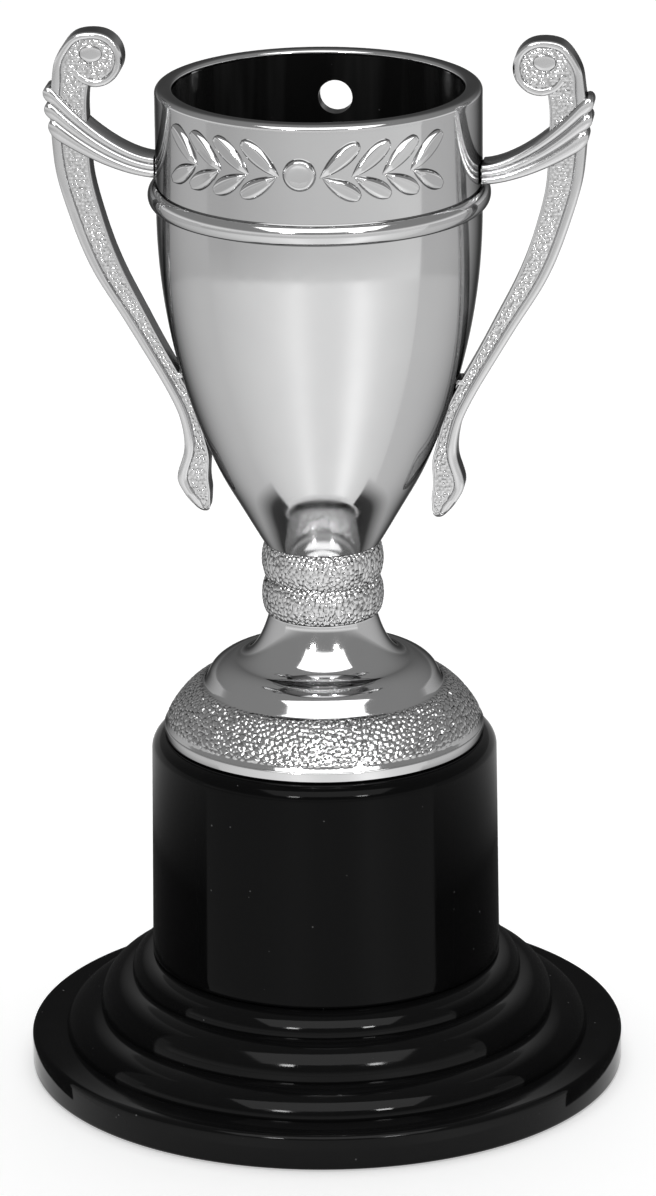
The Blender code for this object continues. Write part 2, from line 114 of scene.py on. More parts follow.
def arc(centre: Point, radii: Point, start: float, stop: float, count: int) -> Array:
    """Points of an elliptical arc: the centre plus the radii times cosine and sine of angles in degrees."""
    angles = np.radians(np.linspace(start, stop, count))
    return np.column_stack([centre[0] + radii[0] * np.cos(angles), centre[1] + radii[1] * np.sin(angles)])


def rounding(corner: Point, size: float, start: float, count: int, stop: float | None = None) -> Array:
    """Points that round off a right-angled corner: a circle's arc that touches the corner's two sides.

    Args:
        corner: The sharp corner.
        size: Radius of the arc.
        start: First angle in degrees: -90, 0 or 90.
        count: Number of points.
        stop: Last angle, a quarter turn on if it isn't given.

    Returns:
        Array of points, one row each.
    """
    way = np.radians(start + 45)
    centre = np.array(corner) - size * np.sign([np.cos(way), np.sin(way)])
    return arc(tuple(centre), (size, size), start, start + 90 if stop is None else stop, count)


def bend(start: Point, control: Point, end: Point, count: int) -> Array:
    """Points of a parabola that leaves start towards control and reaches end from there.

    Args:
        start: First point.
        control: Corner of the two end tangents.
        end: Last point.
        count: Number of points.

    Returns:
        Array of points, one row each.
    """
    share = np.linspace(0, 1, count)[:, None]
    first, corner, last = np.array(start), np.array(control), np.array(end)
    return (1 - share) ** 2 * first + 2 * share * (1 - share) * corner + share ** 2 * last


def chain(*runs: Array | list[Point]) -> Array:
    """Runs of points as one profile, without points that repeat the one before.

    Args:
        runs: The runs in order.

    Returns:
        Array of points, one row each.
    """
    points = np.vstack([np.asarray(run, float) for run in runs])
    apart = np.linalg.norm(np.diff(points, axis=0), axis=1) > SAME
    return points[np.concatenate([[True], apart])]


def refine(profile: Array, spacing: float) -> Array:
    """A closed profile with even points put into its long stretches.

    Args:
        profile: Corner points of the closed line.
        spacing: Longest distance that stays between two points.

    Returns:
        The denser closed profile.
    """
    steps = np.roll(profile, -1, axis=0) - profile
    parts = np.maximum(1, np.ceil(np.linalg.norm(steps, axis=1) / spacing)).astype(int)
    index = np.repeat(np.arange(len(parts)), parts)
    share = (np.arange(parts.sum()) - np.repeat(np.cumsum(parts) - parts, parts)) / parts[index]
    return profile[index] + steps[index] * share[:, None]


def outward(profile: Array) -> Array:
    """Unit normals of a closed profile that runs up its outer side: its tangent turned a quarter clockwise.

    Args:
        profile: Points of radius and height.

    Returns:
        One normal for each point.
    """
    tangent = np.roll(profile, -1, axis=0) - np.roll(profile, 1, axis=0)
    tangent /= np.linalg.norm(tangent, axis=1)[:, None]
    return np.column_stack([tangent[:, 1], -tangent[:, 0]])


def turned(profile: Array, steps: int, relief: Array | float = 0.0) -> Array:
    """Grid of a profile turned about Z: each point, moved along its normal by the relief, at every angle.

    Args:
        profile: Closed profile of radius and height.
        steps: Columns round a full turn.
        relief: Heights that move each grid point along the profile's normal.

    Returns:
        Grid of points, profile by turn.
    """
    normal = outward(profile)
    radius = profile[:, :1] + normal[:, :1] * relief
    return polar(radius, round_turn(steps), profile[:, 1:] + normal[:, 1:] * relief)


def spline(knots: Array, at: Array) -> Array:
    """Natural cubic spline through knots at 0, 1, 2 and so on: a linear system gives its second derivatives.

    Args:
        knots: Points that the line passes through.
        at: Places along the line, in knots.

    Returns:
        One point for each place.
    """
    count = len(knots)
    inner = np.arange(1, count - 1)
    system = np.eye(count)
    system[inner, inner] = 4
    system[inner, inner - 1] = 1
    system[inner, inner + 1] = 1
    right = np.zeros_like(knots)
    right[1:-1] = 6 * (knots[2:] - 2 * knots[1:-1] + knots[:-2])
    bends = np.linalg.solve(system, right)
    index = np.clip(np.floor(at).astype(int), 0, count - 2)
    ahead = (at - index)[:, None]
    behind = 1 - ahead
    line = behind * knots[index] + ahead * knots[index + 1]
    return line + ((behind ** 3 - behind) * bends[index] + (ahead ** 3 - ahead) * bends[index + 1]) / 6


def travelled(points: Array) -> Array:
    """Length of a line of points up to each of them."""
    return np.concatenate([[0.0], np.cumsum(np.linalg.norm(np.diff(points, axis=0), axis=1))])


def places(knots: Array, spacing: float) -> Array:
    """Places along a line of knots, in knots, so that neighbours lie about one spacing apart.

    Args:
        knots: Points of the line.
        spacing: Distance between neighbours.

    Returns:
        Rising places from the first knot to the last.
    """
    length = travelled(knots)
    even = np.linspace(0, length[-1], int(length[-1] / spacing) + 1)
    return np.interp(even, length, np.arange(len(knots)))


def smooth_step(value: Array) -> Array:
    """Rises from 0 to 1 with level ends: three squares less two cubes of the clipped value."""
    inside = np.clip(value, 0, 1)
    return inside * inside * (3 - 2 * inside)


def corners(index: Index) -> Index:
    """Corner numbers of the quads of a grid of point numbers."""
    return np.stack([index[:-1, :-1], index[:-1, 1:], index[1:, 1:], index[1:, :-1]], axis=-1)


def link(name: str, data: bpy.types.ID) -> bpy.types.Object:
    """Puts a mesh, lamp or camera into the scene.

    Args:
        name: Name of the object.
        data: Its data.

    Returns:
        The new object.
    """
    item = bpy.data.objects.new(name, data)
    bpy.context.scene.collection.objects.link(item)
    return item


@dataclass(frozen=True)
class Pebbles:
    """Pebbled mould texture of rounded grains on a jittered hexagonal lattice.

    Attributes:
        pitch: Distance between grains.
        height: Height of a grain above the grooves.
        seed: Start of the random jitter.
        jitter: Largest shift of a grain's centre, as a share of the pitch.
        groove: Width of the grooves' slope, as a share of the pitch.
        bead: Radius of a separate round grain as a share of the pitch, or 0 for grains that touch.
        fall: Share of its height that a grain loses at one pitch from its middle.
        table: Rows and columns of jitter before it repeats.
    """

    pitch: float
    height: float
    seed: int
    jitter: float
    groove: float = 0.4
    bead: float = 0.0
    fall: float = 0.4
    table: int = 128

    def relief(self, across: Array, along: Array, columns: int = 0) -> Array:
        """Height of the texture from 0 in the grooves to 1 on the grains.

        Each point looks at the lattice cells round it. The height rises with the difference between its
        distances to the nearest and the second-nearest grain centre, and falls off from the grain's middle.
        Separate grains are domes: the height falls with the square of the distance to the centre.

        Args:
            across: First coordinate of each point.
            along: Second coordinate of each point.
            columns: Grains after which the texture repeats across, or 0 for none.

        Returns:
            One height for each point.
        """
        size = (self.table, self.table, 2)
        shifts = np.random.default_rng(self.seed).uniform(-self.jitter, self.jitter, size)
        u = across / self.pitch
        v = along / (self.pitch * HEX_ROW)
        nearest = np.full(np.shape(u), np.inf)
        second = nearest
        for row_step in (-1, 0, 1):
            row = np.floor(v).astype(int) + row_step
            offset = 0.5 + 0.5 * (row % 2)
            for column_step in (-1, 0, 1):
                column = np.floor(u - 0.5 * (row % 2)).astype(int) + column_step
                key = column % columns if columns else column
                moved = shifts[row % self.table, key % self.table]
                rise = (v - (row + 0.5 + moved[..., 1])) * HEX_ROW
                gap = np.hypot(u - (column + offset + moved[..., 0]), rise)
                second = np.minimum(second, np.maximum(nearest, gap))
                nearest = np.minimum(nearest, gap)
        if self.bead:
            return 1 - np.clip(nearest / self.bead, 0, 1) ** 2
        return smooth_step((second - nearest) / self.groove) * (1 - self.fall * np.clip(nearest, 0, 1) ** 2)


@dataclass(frozen=True)
class Noise:
    """Pattern of noise on a piece's object coordinates.

    Attributes:
        scale: Noise cells in a metre.
        detail: Octaves of finer noise.
        stretch: Factor on each coordinate.
        span: Noise values at which an effect begins and is full.
        bump: Strength, and height in metres, of the unevenness that the noise makes.
    """

    scale: float
    detail: float = 3.0
    stretch: Triple = (1.0, 1.0, 1.0)
    span: Point = (0.0, 1.0)
    bump: Point = (0.0, 0.0)


class Nodes:
    """Short-hand for wiring the node tree of a material or of the world."""

    def __init__(self, owner: Material | bpy.types.World) -> None:
        """Starts from the nodes that a new material or world has."""
        owner.use_nodes = True
        self.owner, self.tree = owner, owner.node_tree

    def put(self, socket: Socket, value: object) -> None:
        """Gives a socket a value, or a link if the value is a socket.

        Args:
            socket: Input to set.
            value: The value, or the socket that feeds the input.
        """
        if isinstance(value, Socket):
            self.tree.links.new(value, socket)
        else:
            socket.default_value = value

    def fill(self, node: bpy.types.Node, **values: object) -> bpy.types.Node:
        """Sets a node's inputs.

        Args:
            node: The node.
            values: Input values or sockets, by input name with _ for a space.

        Returns:
            The same node.
        """
        for key, value in values.items():
            self.put(node.inputs[key.replace("_", " ")], value)
        return node

    def add(self, kind: str, **values: object) -> bpy.types.Node:
        """Adds a node of a kind, named without ShaderNode, and sets its inputs."""
        return self.fill(self.tree.nodes.new("ShaderNode" + kind), **values)

    def attribute(self, name: str) -> Socket:
        """Value of one of the mesh's own attributes.

        Args:
            name: Name of the attribute.

        Returns:
            The value's socket.
        """
        node = self.add("Attribute")
        node.attribute_name = name
        return node.outputs["Fac"]

    def maths(self, operation: str, first: object, second: object) -> Socket:
        """Result of an operation on two numbers or sockets.

        Args:
            operation: Blender's name of the operation.
            first: First number or socket.
            second: Second number or socket.

        Returns:
            The result's socket.
        """
        node = self.add("Math")
        node.operation = operation
        self.put(node.inputs[0], first)
        self.put(node.inputs[1], second)
        return node.outputs[0]

    def between(self, factor: Socket, ends: Point, span: Point) -> Socket:
        """Maps a factor from a span of its values to the range between two ends, and keeps it there."""
        limits = {"From_Min": span[0], "From_Max": span[1], "To_Min": ends[0], "To_Max": ends[1]}
        return self.add("MapRange", Value=factor, **limits).outputs["Result"]

    def noise(self, pattern: Noise) -> Socket:
        """Value of a noise pattern on the object coordinates.

        Args:
            pattern: The pattern.

        Returns:
            The value's socket.
        """
        spot = self.add("TexCoord").outputs["Object"]
        spread = self.add("Mapping", Vector=spot, Scale=pattern.stretch).outputs["Vector"]
        return self.add("TexNoise", Vector=spread, Scale=pattern.scale, Detail=pattern.detail).outputs["Fac"]

    def spread(self, pattern: Noise, ends: Point) -> Socket:
        """Noise pattern mapped to a range, from where its effect begins to where it is full."""
        return self.between(self.noise(pattern), ends, pattern.span)

    def bump(self, pattern: Noise, **below: Socket) -> Socket:
        """Fine unevenness of the surface.

        Args:
            pattern: Noise pattern of the heights.
            below: Normal of an unevenness below this one, if there is one.

        Returns:
            The bent normal's socket.
        """
        strength, distance = pattern.bump
        node = self.add("Bump", Height=self.noise(pattern), Strength=strength, Distance=distance, **below)
        return node.outputs["Normal"]

    def mix(self, factor: Socket, first: Colour | Socket, second: Colour | Socket) -> Socket:
        """Mixes two colours.

        Args:
            factor: Share of the second colour.
            first: Colour or socket at factor 0.
            second: Colour or socket at factor 1.

        Returns:
            The mixed colour's socket.
        """
        node = self.add("Mix", Factor=factor)
        node.data_type = "RGBA"
        for socket, value in ((node.inputs[6], first), (node.inputs[7], second)):
            self.put(socket, (*value, 1.0) if isinstance(value, tuple) else value)
        return node.outputs[2]

    def seen(self) -> Socket:
        """Factor that is 1 for camera, glossy and transmission rays: the largest of their three flags.

        Returns:
            The factor's socket.
        """
        flags = self.add("LightPath").outputs
        either = self.maths("MAXIMUM", flags["Is Camera Ray"], flags["Is Glossy Ray"])
        return self.maths("MAXIMUM", either, flags["Is Transmission Ray"])

    def wear(self, **values: object) -> Material:
        """Sets the Principled shader's inputs and gives back the material."""
        self.fill(self.tree.nodes["Principled BSDF"], **values)
        return self.owner

    def show(self, shader: Socket) -> Material:
        """Puts another shader in the Principled one's place.

        Args:
            shader: Output of the other shader.

        Returns:
            The material.
        """
        self.tree.nodes.remove(self.tree.nodes["Principled BSDF"])
        self.put(self.tree.nodes["Material Output"].inputs["Surface"], shader)
        return self.owner


@dataclass(frozen=True)
class SilverFinish:
    """Bright silver metallising over moulded plastic.

    Attributes:
        name: Name of the material.
        bright: Colour of clean metal.
        tarnish: Colour of the faint clouds.
        groove: Colour down in a pebbled texture's grooves: painted shade.
        roughness: Lowest and highest roughness of the handled surface.
        edge: Reflection left at a grazing view.
        shaded_groove_top: Texture height above which the painted groove shade is gone.
        clouds: Pattern of the tarnish.
        smudges: Pattern of the roughness.
        scratches: Fine scratches.
        waves: Waviness of the moulding.
    """

    name: str
    bright: Colour = (0.66, 0.66, 0.66)
    tarnish: Colour = (0.61, 0.61, 0.615)
    groove: Colour = (0.3, 0.3, 0.3)
    roughness: Point = (0.06, 0.12)
    edge: float = 0.08
    shaded_groove_top: float = 0.5
    clouds: Noise = Noise(140.0)
    smudges: Noise = Noise(420.0, 5.0, span=(0.35, 0.7))
    scratches: Noise = Noise(3000.0, 2.0, (1.0, 1.0, 0.15), bump=(0.04, 0.00001))
    waves: Noise = Noise(260.0, 2.0, bump=(0.2, 0.000004))

    def material(self) -> Material:
        """Makes the material: clouded metal, smudges in the roughness, slight waviness and painted shade in
        the grooves.

        Returns:
            The material.
        """
        nodes = Nodes(bpy.data.materials.new(self.name))
        metal = nodes.mix(nodes.noise(self.clouds), self.bright, self.tarnish)
        # Painted shade: the colour darkens to the groove colour down in the texture's grooves.
        depth = nodes.between(nodes.attribute("relief"), (1.0, 0.0), (0.0, self.shaded_groove_top))
        return nodes.wear(
            Base_Color=nodes.mix(depth, metal, self.groove), Metallic=1.0,
            Roughness=nodes.spread(self.smudges, self.roughness),
            Specular_Tint=(self.edge, self.edge, self.edge, 1.0),
            Normal=nodes.bump(self.waves, Normal=nodes.bump(self.scratches)))


@dataclass(frozen=True)
class BlackFinish:
    """Glossy black moulded plastic.

    Attributes:
        name: Name of the material.
        colour: Colour of the plastic.
        streak: Colour of the paler upright streaks, painted reflections.
        roughness: Lowest and highest roughness.
        shine: Strength of the reflection.
        dust: Colour of the dust specks.
        dusting: Largest share of the dust's colour in a speck.
        speck_cells: Cells for dust specks in a metre.
        speck: Distances from a speck's middle where it begins to fade and is gone, in cells.
        sparse: Pattern of the cells that have a speck.
        reflection_streaks: Pattern of the painted reflection streaks.
        clouds: Pattern of the roughness.
        scratches: Turning scratches.
        waves: Waviness of the moulding.
    """

    name: str
    colour: Colour = (0.0045, 0.0045, 0.0047)
    streak: Colour = (0.0055, 0.0055, 0.0057)
    roughness: Point = (0.05, 0.13)
    shine: float = 0.075
    dust: Colour = (0.25, 0.25, 0.25)
    dusting: float = 0.8
    speck_cells: float = 700.0
    speck: Point = (0.05, 0.09)
    sparse: Noise = Noise(900.0, 1.0, span=(0.6, 0.68))
    reflection_streaks: Noise = Noise(260.0, 3.0, (1.0, 1.0, 0.08), (0.52, 0.75))
    clouds: Noise = Noise(160.0, 6.0, span=(0.3, 0.7))
    scratches: Noise = Noise(500.0, 3.0, (1.0, 1.0, 9.0), bump=(0.05, 0.00001))
    waves: Noise = Noise(120.0, 2.0, bump=(0.25, 0.00001))

    def material(self) -> Material:
        """Makes the material: black with painted reflection streaks, sparse dust, cloudy gloss, scratches and
        slight waviness.

        Returns:
            The material.
        """
        nodes = Nodes(bpy.data.materials.new(self.name))
        spot = nodes.add("TexCoord").outputs["Object"]
        cells = nodes.add("TexVoronoi", Vector=spot, Scale=self.speck_cells).outputs["Distance"]
        speck = nodes.between(cells, (1.0, 0.0), self.speck)
        dusty = nodes.maths("MULTIPLY", speck, nodes.spread(self.sparse, (0.0, self.dusting)))
        # Painted reflections: paler upright streaks mixed into the black.
        plastic = nodes.mix(nodes.spread(self.reflection_streaks, (0.0, 1.0)), self.colour, self.streak)
        return nodes.wear(
            Base_Color=nodes.mix(dusty, plastic, self.dust),
            Roughness=nodes.spread(self.clouds, self.roughness), Specular_IOR_Level=self.shine,
            Normal=nodes.bump(self.waves, Normal=nodes.bump(self.scratches)))


@dataclass(frozen=True)
class SteelFinish:
    """Plated or rolled steel of the hidden hardware.

    Attributes:
        name: Name of the material.
        bright: Colour of the plating.
        dull: Colour of the duller patches.
        roughness: Lowest and highest roughness.
        spangle: Pattern of the patches.
        marks: Turning marks.
    """

    name: str
    bright: Colour = (0.62, 0.63, 0.66)
    dull: Colour = (0.42, 0.42, 0.43)
    roughness: Point = (0.24, 0.45)
    spangle: Noise = Noise(900.0, 4.0, span=(0.35, 0.65))
    marks: Noise = Noise(2500.0, 2.0, (1.0, 1.0, 0.1), (0.3, 0.7), (0.15, 0.00001))

    def material(self) -> Material:
        """Makes the material: spangled plating with turning marks."""
        nodes = Nodes(bpy.data.materials.new(self.name))
        return nodes.wear(
            Base_Color=nodes.mix(nodes.spread(self.spangle, (0.0, 1.0)), self.bright, self.dull),
            Metallic=1.0, Roughness=nodes.spread(self.marks, self.roughness), Normal=nodes.bump(self.marks))


@dataclass(frozen=True)
class FeltFinish:
    """Short dark felt under the base.

    Attributes:
        name: Name of the material.
        dark: Colour between the fibres.
        light: Colour of the fibres.
        roughness: Roughness of the felt.
        sheen: Strength of its soft sheen.
        fibres: Pattern of the matted fibres.
    """

    name: str
    dark: Colour = (0.012, 0.013, 0.014)
    light: Colour = (0.05, 0.052, 0.055)
    roughness: float = 0.95
    sheen: float = 0.3
    fibres: Noise = Noise(5000.0, 4.0, (1.0, 0.4, 1.0), bump=(0.6, 0.00008))

    def material(self) -> Material:
        """Makes the material: matted fibres with a soft sheen."""
        nodes = Nodes(bpy.data.materials.new(self.name))
        return nodes.wear(
            Base_Color=nodes.mix(nodes.noise(self.fibres), self.dark, self.light), Roughness=self.roughness,
            Sheen_Weight=self.sheen, Normal=nodes.bump(self.fibres))


@dataclass
class Shell:
    """Grids of points gathered into one closed mesh piece.

    Attributes:
        name: Name of the piece.
        points: Points of each grid.
        relief: Texture height at each point, 1 where the surface is plain.
        quads: Corner numbers of the faces.
        slots: Material number of each face.
        count: Points so far.
    """

    name: str
    points: list[Array] = field(default_factory=list)
    relief: list[Array] = field(default_factory=list)
    quads: list[Index] = field(default_factory=list)
    slots: list[Index] = field(default_factory=list)
    count: int = 0

    def add(
        self, grid: Array, wrap: tuple[bool, bool] = (False, True), relief: Array | None = None,
        slot: Array | int = 0, keep: Array | None = None,
    ) -> None:
        """Adds the quads of a grid.

        Args:
            grid: Points by row and column.
            wrap: Whether the last row joins the first, and the last column the first.
            relief: Texture height at each point.
            slot: Material number, or one for each quad.
            keep: For each quad, whether it is made.
        """
        rows, columns = grid.shape[:2]
        index = np.arange(rows * columns).reshape(rows, columns) + self.count
        quads = corners(np.pad(index, ((0, int(wrap[0])), (0, int(wrap[1]))), mode="wrap"))
        chosen = np.ones(quads.shape[:2], bool) if keep is None else keep
        self.points.append(grid.reshape(-1, 3))
        self.relief.append(np.ones(rows * columns) if relief is None else relief.ravel())
        self.quads.append(quads[chosen])
        self.slots.append(np.broadcast_to(slot, chosen.shape)[chosen])
        self.count += rows * columns

    def make(self, body: Body, slot: str, finishes: list[Material], *nodes: str) -> None:
        """Makes the piece, welds its seams, turns its faces outwards and lets it ride.

        Args:
            body: Body that the piece rides on.
            slot: Material slot of the record; not used.
            finishes: Materials in the order of the face numbers.
            nodes: CAD nodes that the piece stands for.
        """
        quads = np.concatenate(self.quads)
        mesh = bpy.data.meshes.new(self.name)
        mesh.vertices.add(self.count)
        mesh.vertices.foreach_set("co", (np.concatenate(self.points) * MM).ravel())
        mesh.loops.add(quads.size)
        mesh.loops.foreach_set("vertex_index", quads.ravel().astype(np.int32))
        mesh.polygons.add(len(quads))
        mesh.polygons.foreach_set("loop_start", np.arange(0, quads.size, 4, dtype=np.int32))
        mesh.polygons.foreach_set("material_index", np.concatenate(self.slots).astype(np.int32))
        mesh.update(calc_edges=True)
        mesh.attributes.new("relief", "FLOAT", "POINT").data.foreach_set("value", np.concatenate(self.relief))
        shape = bmesh.new()
        shape.from_mesh(mesh)
        bmesh.ops.remove_doubles(shape, verts=shape.verts, dist=WELD)
        bmesh.ops.recalc_face_normals(shape, faces=shape.faces)
        shape.to_mesh(mesh)
        shape.free()
        mesh.shade_smooth()
        mesh.set_sharp_from_angle(angle=CRISP)
        for finish in finishes:
            mesh.materials.append(finish)
        piece = link(self.name, mesh)
        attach(piece, body.value)
        if nodes:
            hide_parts(*nodes)
        LOG.info("%s: %d faces on %s", self.name, len(mesh.polygons), body.value)


@dataclass
class Bowl:
    """Cup shell with its lip, band, bead, swelling wall, openings, laurel and front disc."""

    finish: Material
    lining: Material
    bottom: float = 64.6
    rim: float = 118.7
    radius: float = 18.66
    foot_radius: float = 7.2
    swell: float = 2.12
    # How far the lowest stretch is drawn in, and the share of the height over which that fades out
    waist: Point = (0.36, 0.17)
    thickness: float = 2.05
    floor: float = 2.4
    # How much of the floor's inner corner is cut off, across and up
    floor_corner: Point = (1.0, 1.2)
    bore: float = 2.8
    lip: float = 0.6
    inner_lip: float = 0.35
    # Depth that the lip's silver reaches down inside
    plated: float = 0.45
    bead_low: float = 104.9
    bead_high: float = 107.4
    bead_bulge: float = 0.95
    # Height left free under and over the bead, for its crisp edges
    bead_gaps: Point = (0.2, 0.15)
    steps: int = 240
    wall_rows: int = 60
    band_rows: int = 25
    bead_points: int = 17
    lip_points: int = 7
    inner_lip_points: int = 5
    hole_height: float = 113.1
    hole_radius: float = 2.0
    slot_height: float = 109.1
    slot_half: Point = (1.5, 1.1)
    # Half width and half height of the window in the grid round an opening
    hole_window: Point = (3.0, 3.0)
    slot_window: Point = (2.2, 1.55)
    skin_rings: int = 5
    wall_rings: int = 4
    emboss: float = 0.5
    disc_radius: float = 1.92
    disc_height: float = 113.1
    disc_steps: int = 64
    # Disc's section from its middle to the edge and back below: share of the radius, and of the emboss
    disc_shares: Numbers = (0, 0.3, 0.6, 0.72, 0.79, 0.86, 0.93, 1, 1, 0.5, 0)
    disc_lifts: Numbers = (0.85, 0.86, 0.92, 1, 0.95, 0.75, 0.4, -0.1, -1.4, -1.4, -1.4)
    leaf_pairs: int = 4
    leaf_first: float = 6.9
    leaf_pitch: float = 11.0
    leaf_height: float = 112.75
    leaf_width: float = 2.15
    # Length, and slope in degrees
    upper_leaf: Point = (5.95, 41.0)
    lower_leaf: Point = (4.95, -30.0)
    lower_shift: float = 1.0
    leaf_rows: int = 33
    # Powers of the way from the root and from the tip in a leaf's width, and the way where it is widest
    leaf_powers: Point = (0.85, 0.5)
    leaf_widest: float = 0.63
    leaf_thin: float = 0.3
    # Half of a leaf's section from its edge to the midrib: share of the half width, and of the emboss
    leaf_shares: Numbers = (1, 1, 0.9, 0.78, 0.66, 0.54, 0.42, 0.2, 0)
    leaf_lifts: Numbers = (-1.4, -0.1, 0.3, 0.62, 0.84, 0.96, 1, 0.97, 0.95)

    def wall(self, height: Array | float) -> Array:
        """Outer radius of the plain wall: it swells from foot to full width by a power of the height left.

        The lowest stretch is drawn in a little, and that fades out with the fourth power of the height.

        Args:
            height: Heights above the ground.

        Returns:
            One radius for each height.
        """
        share = np.clip((np.asarray(height) - self.bottom) / (self.bead_low - self.bottom), 0, 1)
        drawn_in = self.waist[0] * np.exp(-(share / self.waist[1]) ** 4)
        swollen = (self.radius - self.foot_radius) * (1 - (1 - share) ** self.swell)
        return self.foot_radius + swollen - drawn_in

    def profile(self) -> Array:
        """Closed profile: up the wall, bead, band and lip, down the inside and over the floor.

        Returns:
            Points of radius and height.
        """
        floor = self.bottom + self.floor
        inside = self.radius - self.thickness
        heights = np.linspace(self.bottom, self.bead_low - self.bead_gaps[0], self.wall_rows)
        half = (self.bead_high - self.bead_low) / 2
        bead = arc((self.radius, self.bead_low + half), (self.bead_bulge, half), -90, 90, self.bead_points)
        band = np.linspace(self.bead_high + self.bead_gaps[1], self.rim - self.lip, self.band_rows)
        down = np.linspace(self.bead_high, floor + self.floor_corner[1], self.wall_rows)
        corner = float(self.wall(floor)) - self.thickness - self.floor_corner[0]
        return chain(
            np.column_stack([self.wall(heights), heights]), bead,
            np.column_stack([np.full(len(band), self.radius), band]),
            rounding((self.radius, self.rim), self.lip, 0, self.lip_points),
            rounding((inside, self.rim), self.inner_lip, 90, self.inner_lip_points),
            np.column_stack([np.full(len(band), inside), band[::-1]]),
            np.column_stack([self.wall(down) - self.thickness, down]),
            [(corner, floor), (self.bore, floor), (self.bore, self.bottom)])

    def opening(
        self, shell: Shell, grid: Array, keep: Array, kind: Opening, turn: float, height: float,
    ) -> None:
        """Opens the wall: takes a window out of both skins, fits rings to the opening's outline and walls it.

        Each point of the window's frame slides along its skin towards the outline: its place across and up is
        blended evenly with the outline's point in the same direction, and its depth keeps the skin's radius.

        Args:
            shell: Shell that gets the rings.
            grid: The turned grid.
            keep: Mask of the grid's quads, cleared in the windows.
            kind: Outline of the opening.
            turn: Angle of the opening in degrees.
            height: Height of its middle.
        """
        half_width, half_height = self.hole_window if kind is Opening.ROUND else self.slot_window
        middle = round(turn / 360 * self.steps)
        side = round(half_width / self.radius * self.steps / (2 * math.pi))
        columns = np.arange(middle - side, middle + side)
        radial = np.array([math.cos(math.radians(turn)), math.sin(math.radians(turn))])
        along = np.array([-radial[1], radial[0]])
        rows = np.flatnonzero(np.abs(grid[:, 0, 2] - height) < half_height)
        radii = np.hypot(grid[rows, 0, 0], grid[rows, 0, 1])
        goal = None
        mouths = []
        for number, radius in enumerate((self.radius, self.radius - self.thickness)):
            skin = rows[np.abs(radii - radius) < NEAR]
            low, high, step = (skin[0], skin[-1], 1) if number == 0 else (skin[-1], skin[0], -1)
            climb = np.arange(low, high, step)
            level = np.ones(len(columns), int)
            upright = np.ones(len(climb), int)
            line = np.concatenate([level * low, climb, level * high, climb[::-1] + step])
            post = np.concatenate([
                columns, upright * (middle + side), columns[::-1] + 1, upright * (middle - side)])
            edge = grid[line, post % self.steps]
            flat = np.column_stack([edge[:, :2] @ along, edge[:, 2] - height])
            if goal is None:
                goal = self.outline(kind, np.arctan2(flat[:, 1], flat[:, 0]))
            place = flat + (goal - flat) * np.linspace(0, 1, self.skin_rings)[:, None, None]
            depth = np.sqrt(radius ** 2 - place[..., :1] ** 2)
            level_place = depth * radial + place[..., :1] * along
            rings = np.concatenate([level_place, place[..., 1:] + height], axis=-1)
            shell.add(rings, slot=number)
            mouths.append(rings[-1])
            keep[np.ix_(np.arange(min(low, high), max(low, high)), columns % self.steps)] = False
        through = np.linspace(0, 1, self.wall_rings)[:, None, None]
        shell.add(mouths[0] + (mouths[1] - mouths[0]) * through)

    def outline(self, kind: Opening, angle: Array) -> Array:
        """Points of an opening's outline: on a circle, or where each direction meets the slot's sides.

        Args:
            kind: Outline of the opening.
            angle: Directions from its middle.

        Returns:
            Place across and up for each direction.
        """
        way = np.column_stack([np.cos(angle), np.sin(angle)])
        if kind is Opening.ROUND:
            return way * self.hole_radius
        return way / np.max(np.abs(way) / np.array(self.slot_half), axis=1)[:, None]

    def build_shell(self) -> None:
        """Makes the bowl: the profile turned about Z, silver outside and on the lip, black inside."""
        profile = self.profile()
        grid = turned(profile, self.steps)
        shell = Shell("bowl_shell")
        keep = np.ones(grid.shape[:2], bool)
        self.opening(shell, grid, keep, Opening.ROUND, 90.0, self.hole_height)
        for turn in (0.0, 180.0):
            self.opening(shell, grid, keep, Opening.SLOT, turn, self.slot_height)
        height = profile[:, 1]
        past_lip = np.arange(len(profile)) > np.argmax(height >= self.rim - SAME)
        lined = past_lip & (height < self.rim - self.plated) & (height > self.bottom + NEAR)
        slots = np.repeat(lined[:, None], self.steps, axis=1).astype(int)
        shell.add(grid, (True, True), slot=slots, keep=keep)
        shell.make(Body.CUP, "silver_bowl", [self.finish, self.lining], "bowl")

    def on_band(self, across: Array, up: Array, lift: Array) -> Array:
        """Points on the band: the place across becomes an angle from the front, and the lift adds radius."""
        return polar(self.radius + lift, across / self.radius - math.pi / 2, up)

    def leaf(self, angle: float, side: Side, size: Point) -> Array:
        """One embossed leaf: a flat-topped section with bevelled edges, carried along a straight midrib.

        The half width is a product of powers of the ways from both ends, which gives a pointed root and a
        rounded tip. The height falls with it.

        Args:
            angle: Angle of the leaf's root from the front, in degrees.
            side: Side of the band.
            size: Length, and slope in degrees.

        Returns:
            Grid of points, length by section.
        """
        length, slope = size[0], math.radians(size[1])
        share = np.linspace(0, 1, self.leaf_rows)[:, None]
        root, tip = self.leaf_powers
        fullest = self.leaf_widest ** root * (1 - self.leaf_widest) ** tip
        width = self.leaf_width / 2 * share ** root * (1 - share) ** tip / fullest
        half, lifts = np.array(self.leaf_shares), np.array(self.leaf_lifts)
        across = width * np.concatenate([-half, half[-2::-1]])
        height = np.concatenate([lifts, lifts[-2::-1]])
        lift = self.emboss * height * np.clip(width / (self.leaf_thin * self.leaf_width), 0, 1)
        out = share * length * math.cos(slope) - across * math.sin(slope)
        rise = share * length * math.sin(slope) + across * math.cos(slope)
        start = math.radians(angle) * self.radius
        return self.on_band(side.value * (start + out), self.leaf_height + rise, lift)

